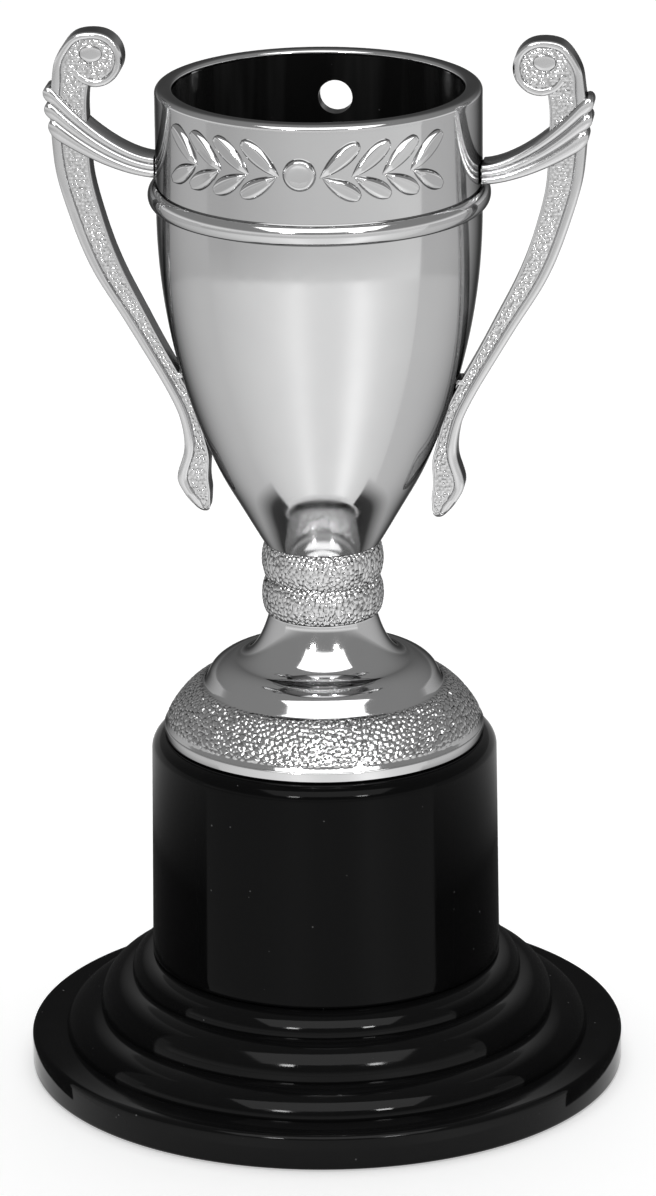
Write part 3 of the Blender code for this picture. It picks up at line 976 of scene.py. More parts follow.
    def build_laurel(self) -> None:
        """Makes the two sprays of paired leaves that point away from the disc."""
        for side in Side:
            shell = Shell("laurel_" + side.name.lower())
            for pair in range(self.leaf_pairs):
                angle = self.leaf_first + pair * self.leaf_pitch
                shell.add(self.leaf(angle, side, self.upper_leaf))
                shell.add(self.leaf(angle + self.lower_shift, side, self.lower_leaf))
            shell.make(Body.CUP, "silver_bowl", [self.finish])

    def build_disc(self) -> None:
        """Makes the plain raised disc on the front: rings of a bevelled section round the disc's middle."""
        angle = round_turn(self.disc_steps)
        reach = self.disc_radius * np.array(self.disc_shares)[:, None]
        lift = self.emboss * np.array(self.disc_lifts)[:, None]
        shell = Shell("front_disc")
        shell.add(self.on_band(reach * np.cos(angle), self.disc_height + reach * np.sin(angle), lift))
        shell.make(Body.CUP, "silver_bowl", [self.finish])

    def build(self) -> None:
        """Builds and dresses the bowl's pieces."""
        self.build_shell()
        self.build_laurel()
        self.build_disc()


@dataclass
class Handle:
    """Flat scroll handle with a smooth rail, a pebbled web, an eye and a reeded arm."""

    side: Side
    bowl: Bowl
    finish: Material
    # Half thickness of the web, and height of the rail above it
    web: float = 1.4
    rail: float = 0.32
    # Width of the rail on the leg and on the scroll
    rail_widths: Point = (1.2, 0.9)
    rail_blunt: float = 0.8
    # Width at which the rail has its full height, and largest share of the bar's width
    rail_full: float = 0.6
    rail_share: float = 0.5
    rail_points: int = 10
    border: float = 0.06
    border_width: float = 0.22
    border_share: float = 0.2
    border_points: int = 5
    web_points: int = 26
    # Slope of the texture's fade at the web's sides, and width of web with the full texture
    web_fade: float = 7.0
    web_full: float = 1.0
    spacing: float = 0.12
    # First knot of the change from leg to scroll, and its length, in knots
    change: Point = (18.0, 3.0)
    # Knots over which the tip thickens, and those before the other end where it begins to sink, and sinks
    tip_knots: float = 2.6
    sink_knots: Point = (2.6, 1.2)
    sink: float = 0.16
    # Places of the points across the bar's edges, as shares of its half thickness
    edge_shares: Triple = (-0.8, 0.0, 0.8)
    pebbles: Pebbles = Pebbles(pitch=0.5, height=0.1, seed=11, jitter=0.3, bead=0.45)
    # Shift of the texture along X
    pebble_shift: float = 40.0
    scroll: Point = (25.45, 121.5)
    scroll_radius: float = 3.2
    scroll_angles: Numbers = (90, 120, 150, 180, 210, 240, 262, 280, 305, 330)
    crown_knots: tuple[Point, ...] = ((30.25, 120.2), (29.85, 121.7), (28.75, 123.5), (27.35, 124.5))
    eye: Point = (25.85, 122.15)
    eye_radii: Point = (1.3, 0.98)
    eye_angles: Numbers = (-35, 22, 76, 114, 148, 180, 210, 238, 258, 272, 284, 296)
    throat_knots: tuple[Point, ...] = ((25.95, 119.5), (25.9, 120.6))
    eye_steps: int = 40
    # Eye's section from its middle to half its thickness: share of the radii, and height above the web
    eye_shares: Numbers = (0, 0.3, 0.6, 0.82, 0.95, 1.02)
    eye_lifts: Numbers = (0.06, 0.06, 0.05, 0.03, -0.02, -0.2)
    arm_length: float = 12.2
    arm_root: float = 0.1
    arm_rise: float = 6.55
    arm_bend: float = 1.7
    arm_drop: float = 9.65
    arm_heights: Point = (2.45, 6.1)
    arm_flare: float = 1.8
    # Share of the arm's length from which its climb slows down
    arm_level: float = 0.92
    arm_depth: float = 1.55
    reed_depth: float = 0.45
    reed_steps: int = 24
    reed_rows: int = 50
    reed_end_rows: int = 14
    # Upper and lower edge as shares of the arm's height from the top, and end as a share of its length
    reeds: tuple[Triple, ...] = ((0.0, 0.33, 1.055), (0.31, 0.64, 1.045), (0.6, 1.0, 1.01))
    # Height of the lug's middle, its reach into and out of the wall, half depth, half height and bluntness
    lug_height: float = 84.3
    lug_reach: Point = (-0.2, 0.9)
    lug_half: Point = (1.5, 0.35)
    lug_blunt: float = 0.3
    # Tenon's start outside the bowl's inner skin, its length, half depth, half height and bluntness
    tenon_start: float = 0.3
    tenon_length: float = 3.0
    tenon_half: Point = (1.2, 0.8)
    tenon_blunt: float = 0.1
    # Points of a block from bottom to top, and round it
    block_points: tuple[int, int] = (17, 32)
    # Drop below the rim, distance of the inner edge from the bowl's wall, and width, from the tip up
    leg_rows: tuple[Triple, ...] = (
        (51.05, 4.95, 0.05), (50.5, 4.1, 1.35), (49.3, 3.3, 2.5), (48.2, 2.65, 3.2), (46.8, 2.0, 3.6),
        (45.0, 1.0, 3.3), (43.5, 0.4, 2.8), (41.7, 0.1, 2.35), (39.5, -0.2, 2.25), (37.5, -0.25, 2.4),
        (34.7, 0.25, 2.5), (30.7, 1.4, 2.65), (26.7, 2.65, 3.0), (22.7, 4.1, 3.45), (18.7, 5.4, 3.65),
        (14.7, 6.5, 3.8), (10.7, 7.4, 4.0), (6.7, 7.65, 4.2), (2.7, 7.8, 4.25), (0.2, 7.55, 4.25),
    )

    def edges(self) -> tuple[Array, Array]:
        """Outer and inner edge of the flat bar, from the tip up the leg and round the scroll.

        Up the leg they follow the rows. Round the scroll the outer edge follows the leg's crown and then the
        scroll's circle, and the inner edge climbs through the throat to the eye and circles it.

        Returns:
            Knots of the outer and the inner edge as X and Z.
        """
        drop, gap, width = np.array(self.leg_rows).T
        height = self.bowl.rim - drop
        inner = self.bowl.wall(height) + gap
        scroll, eye = (np.radians(angles) for angles in (self.scroll_angles, self.eye_angles))
        return np.vstack([
            np.column_stack([inner + width, height]), self.crown_knots,
            self.scroll + self.scroll_radius * np.column_stack([np.cos(scroll), np.sin(scroll)]),
        ]), np.vstack([
            np.column_stack([inner, height]), self.throat_knots,
            self.eye + np.array(self.eye_radii) * np.column_stack([np.cos(eye), np.sin(eye)]),
        ])

    def build_scroll(self, shell: Shell) -> None:
        """Sweeps the bar's section along its edges.

        Across the bar the face is a half-round rail along the outer edge, a pebbled web and a thin half-round
        border along the inner edge. The border fades out where the scroll begins, and the rail narrows there.
        The back is the same. The bar thins to nothing at its tip, and its other end sinks in a little.

        Args:
            shell: Shell that gets the bar.
        """
        outer_knots, inner_knots = self.edges()
        at = places((outer_knots + inner_knots) / 2 + (outer_knots - inner_knots) / 4, self.spacing)
        outer, inner = spline(outer_knots, at), spline(inner_knots, at)
        width = np.linalg.norm(outer - inner, axis=1)[:, None]
        up_scroll = smooth_step((at - self.change[0]) / self.change[1])[:, None]
        on_leg, on_scroll = self.rail_widths
        rail = np.minimum(on_leg + (on_scroll - on_leg) * up_scroll, self.rail_share * width)
        border = np.minimum(self.border_width * (1 - up_scroll), self.border_share * width)
        web_width = width - rail - border
        bow = np.linspace(0, np.pi, self.rail_points)[None, :]
        inside = np.linspace(0, 1, self.web_points + 2)[None, 1:-1]
        rim = np.linspace(0, np.pi, self.border_points)[None, :]
        place = np.concatenate([
            rail * (1 - np.cos(bow)) / 2, rail + web_width * inside, width - border * (1 + np.cos(rim)) / 2,
        ], axis=1)
        face = outer[:, None] + (inner - outer)[:, None] * (place / np.maximum(width, SAME))[..., None]
        grain = self.pebbles.relief(face[..., 0] + self.pebble_shift, face[..., 1])
        mask = np.zeros_like(place)
        off_sides = smooth_step(np.minimum(inside, 1 - inside) * self.web_fade)
        mask[:, bow.size:-rim.size] = off_sides * np.clip(web_width / self.web_full, 0, 1)
        lift = self.web + self.pebbles.height * grain * mask
        full = np.clip(rail / self.rail_full, 0, 1)
        lift[:, :bow.size] += self.rail * np.abs(np.sin(bow)) ** self.rail_blunt * full
        lift[:, -rim.size:] += self.border * np.sin(rim) * (1 - up_scroll)
        taper = np.sqrt(np.clip(at / self.tip_knots, 0, 1))[:, None]
        to_end = at - (len(outer_knots) - 1) + self.sink_knots[0]
        lift = lift * taper - self.sink * smooth_step(to_end / self.sink_knots[1])[:, None]
        self.ring(shell, face, lift, np.where(mask > TEXTURED, grain, 1.0), (outer, inner))

    def ring(self, shell: Shell, face: Array, lift: Array, relief: Array, edges: tuple[Array, Array]) -> None:
        """Closes the swept bar: front, inner edge, back and outer edge form one ring at each station.

        Args:
            shell: Shell that gets the bar.
            face: X and Z of the face's points by station and place.
            lift: Distance of each point from the middle plane.
            relief: Texture height at each point.
            edges: Outer and inner edge.
        """
        wall = np.array(self.edge_shares)[None, :] * lift[:, :1]
        outer, inner = (np.repeat(edge[:, None], wall.shape[1], axis=1) for edge in edges)
        flat = np.concatenate([face, inner, face[:, ::-1], outer], axis=1)
        depth = np.concatenate([-lift, wall, lift[:, ::-1], -wall], axis=1)
        plain = np.ones_like(wall)
        heights = np.concatenate([relief, plain, relief[:, ::-1], plain], axis=1)
        grid = self.placed(flat[..., 0], depth, flat[..., 1])
        cap = np.broadcast_to(grid[-1].mean(axis=0), grid[-1:].shape)
        shell.add(np.concatenate([grid, cap]), relief=np.concatenate([heights, heights[-1:]]))

    def placed(self, across: Array, depth: Array, height: Array) -> Array:
        """Points of the right handle, or the same turned half round Z for the left one."""
        sign = self.side.value
        return np.stack(np.broadcast_arrays(sign * across, sign * depth, height), axis=-1)

    def build_eye(self, shell: Shell) -> None:
        """Makes the scroll's eye: a smooth oval plug that fills the bar's inner end flush with the web.

        Args:
            shell: Shell that gets the eye.
        """
        angle = round_turn(self.eye_steps)
        share, depth = np.array(self.eye_shares), self.web + np.array(self.eye_lifts)
        share = np.concatenate([share, share[::-1]])[:, None]
        depth = np.concatenate([-depth, depth[::-1]])[:, None]
        across = self.eye[0] + self.eye_radii[0] * share * np.cos(angle)
        shell.add(self.placed(across, depth, self.eye[1] + self.eye_radii[1] * share * np.sin(angle)))

    def arm_line(self, share: Array) -> tuple[Array, Array, Array]:
        """Middle line of the arm: it leaves the wall level and climbs by a power of the way, growing taller.

        Over the last stretch the way is slowed down by its square, so that the end is level again.

        Args:
            share: Way along the arm from the wall to the end.

        Returns:
            X, middle height and half height.
        """
        last = max(end for _, _, end in self.reeds)
        slowed = np.maximum(share - self.arm_level, 0) ** 2 / (2 * (last - self.arm_level))
        climb = share - slowed
        across = self.bowl.radius - self.arm_root + self.arm_length * share
        middle = self.bowl.rim - self.arm_drop + self.arm_rise * climb ** self.arm_bend
        low, high = self.arm_heights
        return across, middle, (low + (high - low) * climb ** self.arm_flare) / 2

    def build_arm(self, shell: Shell) -> None:
        """Makes the arm: three reeds side by side that run through its whole depth.

        Each reed's section is a bar with a half-oval cap on both faces. It follows a lane of the arm and
        closes in a round end: over a length of half its height the section shrinks as a quarter circle does.

        Args:
            shell: Shell that gets the arm.
        """
        turn = round_turn(self.reed_steps) + np.pi / self.reed_steps
        for low, high, end in self.reeds:
            begin = end - (high - low) * self.arm_heights[1] / 2 / self.arm_length
            rounded = np.sin(np.linspace(0, np.pi / 2, self.reed_end_rows))
            share = np.concatenate([np.linspace(0, begin, self.reed_rows), begin + (end - begin) * rounded])
            across, middle, half = (line[:, None] for line in self.arm_line(share))
            into_end = np.clip((share - begin) / (end - begin), 0, 1)
            close = np.sqrt(1 - into_end ** 2)[:, None]
            close[0] = 0
            height = middle + half * (1 - low - high) + half * (high - low) * close * np.sin(turn)
            deep = self.arm_depth * np.sign(np.cos(turn)) + self.reed_depth * close * np.cos(turn)
            shell.add(self.placed(across, deep, height))

    def block(self, shell: Shell, low: Triple, high: Triple, blunt: float) -> None:
        """Makes a rounded block: a ball whose sines and cosines are flattened by a small power.

        Args:
            shell: Shell that gets the block.
            low: Lowest corner.
            high: Highest corner.
            blunt: Power, near 0 for a sharp box.
        """
        tilt = np.linspace(-np.pi / 2, np.pi / 2, self.block_points[0])[:, None]
        turn = round_turn(self.block_points[1])[None, :]
        level, up, x_way, y_way = (
            np.sign(wave) * np.abs(wave) ** blunt
            for wave in (np.cos(tilt), np.sin(tilt), np.cos(turn), np.sin(turn)))
        middle = (np.array(low) + np.array(high)) / 2
        half = (np.array(high) - np.array(low)) / 2
        shell.add(self.placed(
            middle[0] + half[0] * level * x_way, middle[1] + half[1] * level * y_way,
            middle[2] + half[2] * up))

    def build(self) -> None:
        """Builds and dresses the handle's two pieces: the scroll with its eye, and the arm with its tenon."""
        name = "handle_" + self.side.name.lower()
        bar = Shell(name + "_scroll")
        self.build_scroll(bar)
        self.build_eye(bar)
        wall = float(self.bowl.wall(self.lug_height))
        deep, tall = self.lug_half
        self.block(
            bar, (wall + self.lug_reach[0], -deep, self.lug_height - tall),
            (wall + self.lug_reach[1], deep, self.lug_height + tall), self.lug_blunt)
        bar.make(Body.CUP, "silver_handle", [self.finish], name)
        arm = Shell(name + "_arm")
        self.build_arm(arm)
        start = self.bowl.radius - self.bowl.thickness + self.tenon_start
        deep, tall = self.tenon_half
        self.block(
            arm, (start, -deep, self.bowl.slot_height - tall),
            (start + self.tenon_length, deep, self.bowl.slot_height + tall), self.tenon_blunt)
        arm.make(Body.CUP, "silver_handle", [self.finish], name)


@dataclass
class Pedestal:
    """Silver foot and pebbled collar under the bowl."""

    foot_finish: Material
    collar_finish: Material
    foot_bottom: float = 41.08
    foot_top: float = 55.85
    foot_radius: float = 18.7
    lip_top: float = 42.4
    # Rounding of the lip's lower and upper edge
    lip_rounds: Point = (0.25, 0.2)
    # Angle where the upper rounding meets the band
    lip_end: float = 75.0
    lip_points: int = 5
    # Band's setback from the lip, its swell and its end beside the dome
    band_inset: float = 0.12
    band_swell: Point = (-2.1, 3.85)
    band_end: Point = (0.35, -0.05)
    band_top: float = 47.35
    band_margin: float = 0.3
    band_points: int = 56
    # Step from the band's end to the dome's chamfered edge
    dome_step: Point = (-0.1, 0.12)
    dome_radius: float = 13.65
    dome_top: float = 50.15
    # Angle where the dome's arc begins
    dome_edge: float = 29.0
    dome_points: int = 18
    edge_points: int = 6
    cove_radius: float = 10.2
    cove_pull: Point = (1.4, 0.35)
    cove_points: int = 22
    neck_radius: float = 6.3
    neck_bottom: float = 55.6
    bore: float = 2.8
    rim_width: float = 2.2
    crown: float = 48.1
    crown_drop: float = 2.0
    crown_points: int = 14
    foot_steps: int = 640
    foot_pebbles: Pebbles = Pebbles(pitch=0.74, height=0.15, seed=3, jitter=0.45, groove=0.32)
    foot_grains: int = 138
    # Slope of the texture's fade at the band's edges, and plain share of the band above the lip
    foot_fade: float = 12.0
    smooth_edge: float = 0.08
    collar_bottom: float = 55.9
    collar_top: float = 64.55
    collar_waist: float = 6.2
    collar_bulge: float = 0.75
    collar_points: int = 36
    collar_steps: int = 360
    collar_pebbles: Pebbles = Pebbles(pitch=0.66, height=0.15, seed=7, jitter=0.45, groove=0.32)
    collar_grains: int = 64
    collar_fade: float = 4.0

    def build_foot(self) -> None:
        """Makes the foot: hollow bell profile turned about Z, with grains on its convex band."""
        lip = chain(
            rounding((self.foot_radius, self.foot_bottom), self.lip_rounds[0], -90, self.lip_points),
            rounding((self.foot_radius, self.lip_top), self.lip_rounds[1], 0, self.lip_points, self.lip_end))
        band = bend(
            (self.foot_radius - self.band_inset, self.lip_top),
            (self.foot_radius + self.band_swell[0], self.lip_top + self.band_swell[1]),
            (self.dome_radius + self.band_end[0], self.band_top + self.band_end[1]), self.band_points)
        dome_size = (self.dome_radius - self.cove_radius, self.dome_top - self.band_top)
        dome = arc((self.cove_radius, self.band_top), dome_size, self.dome_edge, 90, self.dome_points)
        edge = np.linspace(band[-1] + self.dome_step, dome[0], self.edge_points)[:-1]
        cove = bend(
            (self.cove_radius, self.dome_top),
            (self.neck_radius + self.cove_pull[0], self.dome_top + self.cove_pull[1]),
            (self.neck_radius, self.neck_bottom), self.cove_points)
        neck = [(self.neck_radius, self.foot_top), (self.bore, self.foot_top), (self.bore, self.crown)]
        hollow = bend(
            (self.bore + self.rim_width, self.crown),
            (self.foot_radius - 2 * self.rim_width, self.crown - self.crown_drop),
            (self.foot_radius - self.rim_width, self.foot_bottom), self.crown_points)
        profile = chain(lip, band, edge, dome, cove, neck, hollow)
        share = (profile[:, 1] - self.lip_top) / (self.band_top - self.lip_top)
        on_band = (share > 0) & (share < 1) & (profile[:, 0] > self.dome_radius + self.band_margin)
        fade = smooth_step(np.minimum(share - self.smooth_edge, 1 - share) * self.foot_fade)
        mask = np.where(on_band, fade, 0.0)
        shell = Shell("foot_bell")
        self.pebbled(shell, profile, mask, self.foot_steps, self.foot_pebbles, self.foot_grains)
        shell.make(Body.CUP, "silver_foot", [self.foot_finish], "foot")

    def build_collar(self) -> None:
        """Makes the collar: two half-round rings turned about Z and covered with grains."""
        half = (self.collar_top - self.collar_bottom) / 4
        rings = [
            arc((self.collar_waist, centre), (self.collar_bulge, half), -90, 90, self.collar_points)
            for centre in (self.collar_bottom + half, self.collar_top - half)]
        profile = chain(*rings, [(self.bore, self.collar_top), (self.bore, self.collar_bottom)])
        ends = np.minimum(profile[:, 1] - self.collar_bottom, self.collar_top - profile[:, 1])
        outside = profile[:, 0] > self.bore + NEAR
        mask = np.where(outside, smooth_step(ends * self.collar_fade), 0.0)
        shell = Shell("collar_rings")
        self.pebbled(shell, profile, mask, self.collar_steps, self.collar_pebbles, self.collar_grains)
        shell.make(Body.CUP, "silver_collar", [self.collar_finish], "stem_collar")

    def pebbled(
        self, shell: Shell, profile: Array, mask: Array, steps: int, pebbles: Pebbles, grains: int,
    ) -> None:
        """Adds a turned surface with grains: the texture lifts each point along the profile's normal.

        Args:
            shell: Shell that gets the surface.
            profile: Closed profile.
            mask: Share of the texture at each profile point.
            steps: Columns round a full turn.
            pebbles: The texture.
            grains: Grains round a full turn.
        """
        across, along = np.meshgrid(np.arange(steps) / steps * grains * pebbles.pitch, travelled(profile))
        grain = pebbles.relief(across, along, grains)
        share = mask[:, None]
        shell.add(
            turned(profile, steps, grain * share * pebbles.height), (True, True),
            np.where(share > TEXTURED, grain, 1.0))

    def build(self) -> None:
        """Builds and dresses the foot and the collar."""
        self.build_foot()
        self.build_collar()


@dataclass
class Plinth:
    """Black drum and stepped base with the felt pad below."""

    drum_finish: Material
    base_finish: Material
    felt: Material
    # Columns round a full turn, and longest distance between the points of a profile
    steps: int = 224
    spacing: float = 1.5
    bore: float = 2.8
    drum_bottom: float = 13.97
    drum_top: float = 41.0
    drum_radius: float = 20.5
    drum_foot: float = 0.2
    drum_foot_points: int = 5
    draft: float = 0.3
    shoulder: float = 1.8
    shoulder_points: int = 14
    drum_wall: float = 2.2
    drum_deck: float = 2.5
    base_top: float = 13.9
    # Inner radius, outer radius and rise of each step from the top down
    step_edges: tuple[Triple, ...] = ((20.5, 23.0, 2.6), (23.45, 26.8, 4.0), (27.25, 30.9, 3.0))
    step_points: int = 16
    base_radius: float = 35.0
    flange: float = 4.3
    flange_round: float = 0.7
    flange_points: int = 8
    foot_round: float = 0.5
    foot_points: int = 6
    spigot: float = 17.7
    spigot_rise: float = 2.5
    spigot_wall: float = 2.0
    # Corners of the hollow under the deck, from the bore outwards
    hollow: tuple[Point, ...] = ((2.8, 11.6), (21.4, 11.6), (21.4, 5.0), (25.2, 5.0), (25.2, 1.3))
    pad_radius: float = 32.5
    pad_thickness: float = 1.0
    pad_round: float = 0.2
    pad_points: int = 4
    # Radius of the innermost ring of points under the pad, and number of rings
    pad_first: float = 2.0
    pad_rings: int = 20
    pad_gap: float = 0.3

    def turn(self, name: str, profile: Array, slot: str, finish: Material, node: str) -> None:
        """Turns a closed profile about Z into a piece of the plinth.

        Args:
            name: Name of the piece.
            profile: Closed profile.
            slot: Material slot of the record.
            finish: Material.
            node: CAD node that the piece stands for.
        """
        shell = Shell(name)
        shell.add(turned(refine(profile, self.spacing), self.steps), (True, True))
        shell.make(Body.PLINTH, slot, [finish], node)

    def build_drum(self) -> None:
        """Makes the hollow drum: slightly tapered wall, rounded shoulder and flat deck."""
        top = self.drum_radius - self.draft
        inner = top - self.drum_wall
        ceiling = self.drum_top - self.drum_deck
        profile = chain(
            [(inner, self.drum_bottom)],
            rounding((self.drum_radius, self.drum_bottom), self.drum_foot, -90, self.drum_foot_points),
            rounding((top, self.drum_top), self.shoulder, 0, self.shoulder_points),
            [(self.bore, self.drum_top), (self.bore, ceiling), (inner, ceiling)])
        self.turn("drum_body", profile, "black_drum", self.drum_finish, "plinth_drum")

    def build_base(self) -> None:
        """Makes the hollow stepped base: flange, three quarter-round steps and the spigot inside the drum."""
        rim = self.pad_radius + self.pad_gap
        runs: list[Array | list[Point]] = [
            [(rim, self.hollow[-1][1]), (rim, 0.0)],
            rounding((self.base_radius, 0.0), self.foot_round, -90, self.foot_points),
            rounding((self.base_radius, self.flange), self.flange_round, 0, self.flange_points),
        ]
        level = self.flange
        for inner, outer, rise in reversed(self.step_edges):
            runs.append(arc((inner, level), (outer - inner, rise), 0, 90, self.step_points))
            level += rise
        tall = self.base_top + self.spigot_rise
        inside = self.spigot - self.spigot_wall
        runs.append([
            (self.spigot, self.base_top), (self.spigot, tall), (inside, tall), (inside, self.base_top),
            (self.bore, self.base_top), *self.hollow])
        self.turn("base_steps", chain(*runs), "black_base", self.base_finish, "stepped_base")

    def build_pad(self) -> None:
        """Makes the felt pad: a thin disc with soft edges, closed at its middle."""
        under = np.linspace(self.pad_first, self.pad_radius - self.pad_round, self.pad_rings)
        profile = chain(
            [(0.0, 0.0)], np.column_stack([under, np.zeros_like(under)]),
            rounding((self.pad_radius, 0.0), self.pad_round, -90, self.pad_points),
            rounding((self.pad_radius, self.pad_thickness), self.pad_round, 0, self.pad_points),
            [(0.0, self.pad_thickness)])
        shell = Shell("base_felt")
        shell.add(turned(profile, self.steps))
        shell.make(Body.PLINTH, "pad_felt", [self.felt], "base_pad")

    def build(self) -> None:
        """Builds and dresses the plinth's pieces."""
        self.build_drum()
        self.build_base()
        self.build_pad()


@dataclass
class Hardware:
    """Clamp bolt with its chamfered head and thread, and the plain parts carried over from the frame."""

    zinc: Material
    ballast: Material
    radius: float = 2.5
    bottom: float = 3.4
    steps: int = 72
    thread_top: float = 26.0
    thread_pitch: float = 0.8
    thread_depth: float = 0.35
    thread_fade: float = 1.5
    thread_rows: float = 0.1
    head_bottom: float = 68.6
    flats: float = 8.0
    # Heights up the head, and radius of the washer face and of the chamfer cone there
    head_rises: Numbers = (0, 0, 0.25, 0.25, 1, 2, 2.7, 2.9, 3.1, 3.3, 3.5, 3.5)
    head_cone: Numbers = (2.5, 3.9, 3.9, 9, 9, 9, 9, 4.6, 4.35, 4.1, 3.85, 0)

    def build_bolt(self) -> None:
        """Makes the bolt: a helical thread up the shank, and a hexagon head whose corners a cone cuts off.

        The shank's radius falls by a triangle wave of the height less the turn. The head's radius is the
        smaller of the hexagon's distance in that direction and the chamfer cone's radius at that height.
        """
        turn = round_turn(self.steps)
        low = np.arange(self.bottom, self.thread_top, self.thread_rows)
        phase = (low[:, None] / self.thread_pitch - turn / (2 * np.pi)) % 1
        fade = np.clip((self.thread_top - low) / self.thread_fade, 0, 1)[:, None]
        thread = self.radius - self.thread_depth * np.abs(2 * phase - 1) * fade
        hexagon = self.flats / 2 / np.cos((turn + np.pi / 6) % (np.pi / 3) - np.pi / 6)
        head = np.minimum(hexagon, np.array(self.head_cone)[:, None])
        ring = np.ones((1, self.steps))
        radius = np.concatenate([0 * ring, thread, self.radius * ring, head])
        rises = self.head_bottom + np.array(self.head_rises)
        shell = Shell("clamp_bolt")
        shell.add(polar(radius, turn, np.concatenate([low[:1], low, [self.thread_top], rises])[:, None]))
        shell.make(Body.PLINTH, "zinc_steel", [self.zinc], "centre_bolt")

    def dress(self, node: str, finish: Material) -> None:
        """Gives a CAD node its finish.

        Args:
            node: Name of the node.
            finish: Material.
        """
        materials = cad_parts[node].data.materials
        materials.clear()
        materials.append(finish)
        LOG.info("%s: carried over", node)

    def build(self) -> None:
        """Builds the bolt and dresses the carried-over pieces."""
        self.build_bolt()
        for node in ("cup_washer", "base_washer", "base_nut"):
            self.dress(node, self.zinc)
        self.dress("ballast_disc", self.ballast)


@dataclass(frozen=True)
class Card:
    """Glowing sheet that only glossy surfaces mirror: rings of points at the same angles about Z.

    Attributes:
        name: Name of the card.
        turn: First and last angle from the camera's side towards +X, in degrees.
        count: Number of angles.
        rings: Radius and height in metres, and glow, of each ring, where a glow of 1 is white.
        spread: Angles, and the factor on the glow at each.
        streaks: Middle angle, width and added glow of each brighter streak.
        fade: Factor on the streaks at each ring.
    """

    name: str
    turn: Point
    count: int
    rings: tuple[Triple, ...]
    spread: tuple[Point, ...] = ((0.0, 1.0),)
    streaks: tuple[Triple, ...] = ()
    fade: Numbers = (1.0,)

    def glow(self, turn: Array) -> Array:
        """Brightness of the card: the rings' glow times the spread, plus a bell curve for each streak.

        Args:
            turn: Angles in degrees.

        Returns:
            Brightness by ring and angle.
        """
        bright = np.array(self.rings)[:, 2:] * np.interp(turn, *np.array(self.spread).T)
        for middle, width, gain in self.streaks:
            bright = bright + gain * np.exp(-((turn - middle) / width) ** 2) * np.array(self.fade)[:, None]
        return bright

    def build(self, azimuth: float) -> None:
        """Makes the sheet, hidden from the camera, from diffuse light and from shadows.

        Args:
            azimuth: The camera's angle from the front in degrees.
        """
        turn = np.linspace(*self.turn, self.count)
        radius, height, _ = (column[:, None] for column in np.array(self.rings).T)
        points = polar(radius, np.radians(turn + azimuth - 90), height)
        faces = corners(np.arange(points[..., 0].size).reshape(points.shape[:2]))
        mesh = bpy.data.meshes.new(self.name)
        mesh.from_pydata(points.reshape(-1, 3).tolist(), [], faces.reshape(-1, 4).tolist())
        mesh.attributes.new("glow", "FLOAT", "POINT").data.foreach_set("value", self.glow(turn).ravel())
        nodes = Nodes(bpy.data.materials.new(self.name))
        mesh.materials.append(nodes.show(nodes.add("Emission", Strength=nodes.attribute("glow")).outputs[0]))
        card = link(self.name, mesh)
        card.visible_camera = card.visible_diffuse = card.visible_shadow = False


@dataclass(frozen=True)
class Lamp:
    """Area lamp that faces the trophy.

    Attributes:
        name: Name of the lamp.
        azimuth: Angle from the front towards +X in degrees.
        place: Distance from the axis, and height, in metres.
        size: Width and height in metres.
        glow: Brightness of its face, where 1 is white.
        use: What the lamp is for.
        aim: Height on the axis that it faces, in metres.
    """

    name: str
    azimuth: float
    place: Point
    size: Point
    glow: float
    use: LampUse
    aim: float = 0.09

    def build(self) -> None:
        """Adds the lamp to the scene."""
        data = bpy.data.lights.new(self.name, "AREA")
        data.shape = "RECTANGLE"
        data.size, data.size_y = self.size
        data.energy = self.glow * math.pi * self.size[0] * self.size[1]
        lamp = link(self.name, data)
        turn = math.radians(self.azimuth)
        lamp.location = (self.place[0] * math.sin(turn), -self.place[0] * math.cos(turn), self.place[1])
        lamp.rotation_euler = (Vector((0, 0, self.aim)) - lamp.location).to_track_quat("-Z", "Y").to_euler()
        lamp.visible_camera = False
        lamp.visible_glossy = self.use is LampUse.MIRROR
        lamp.visible_diffuse = self.use is LampUse.LIGHT


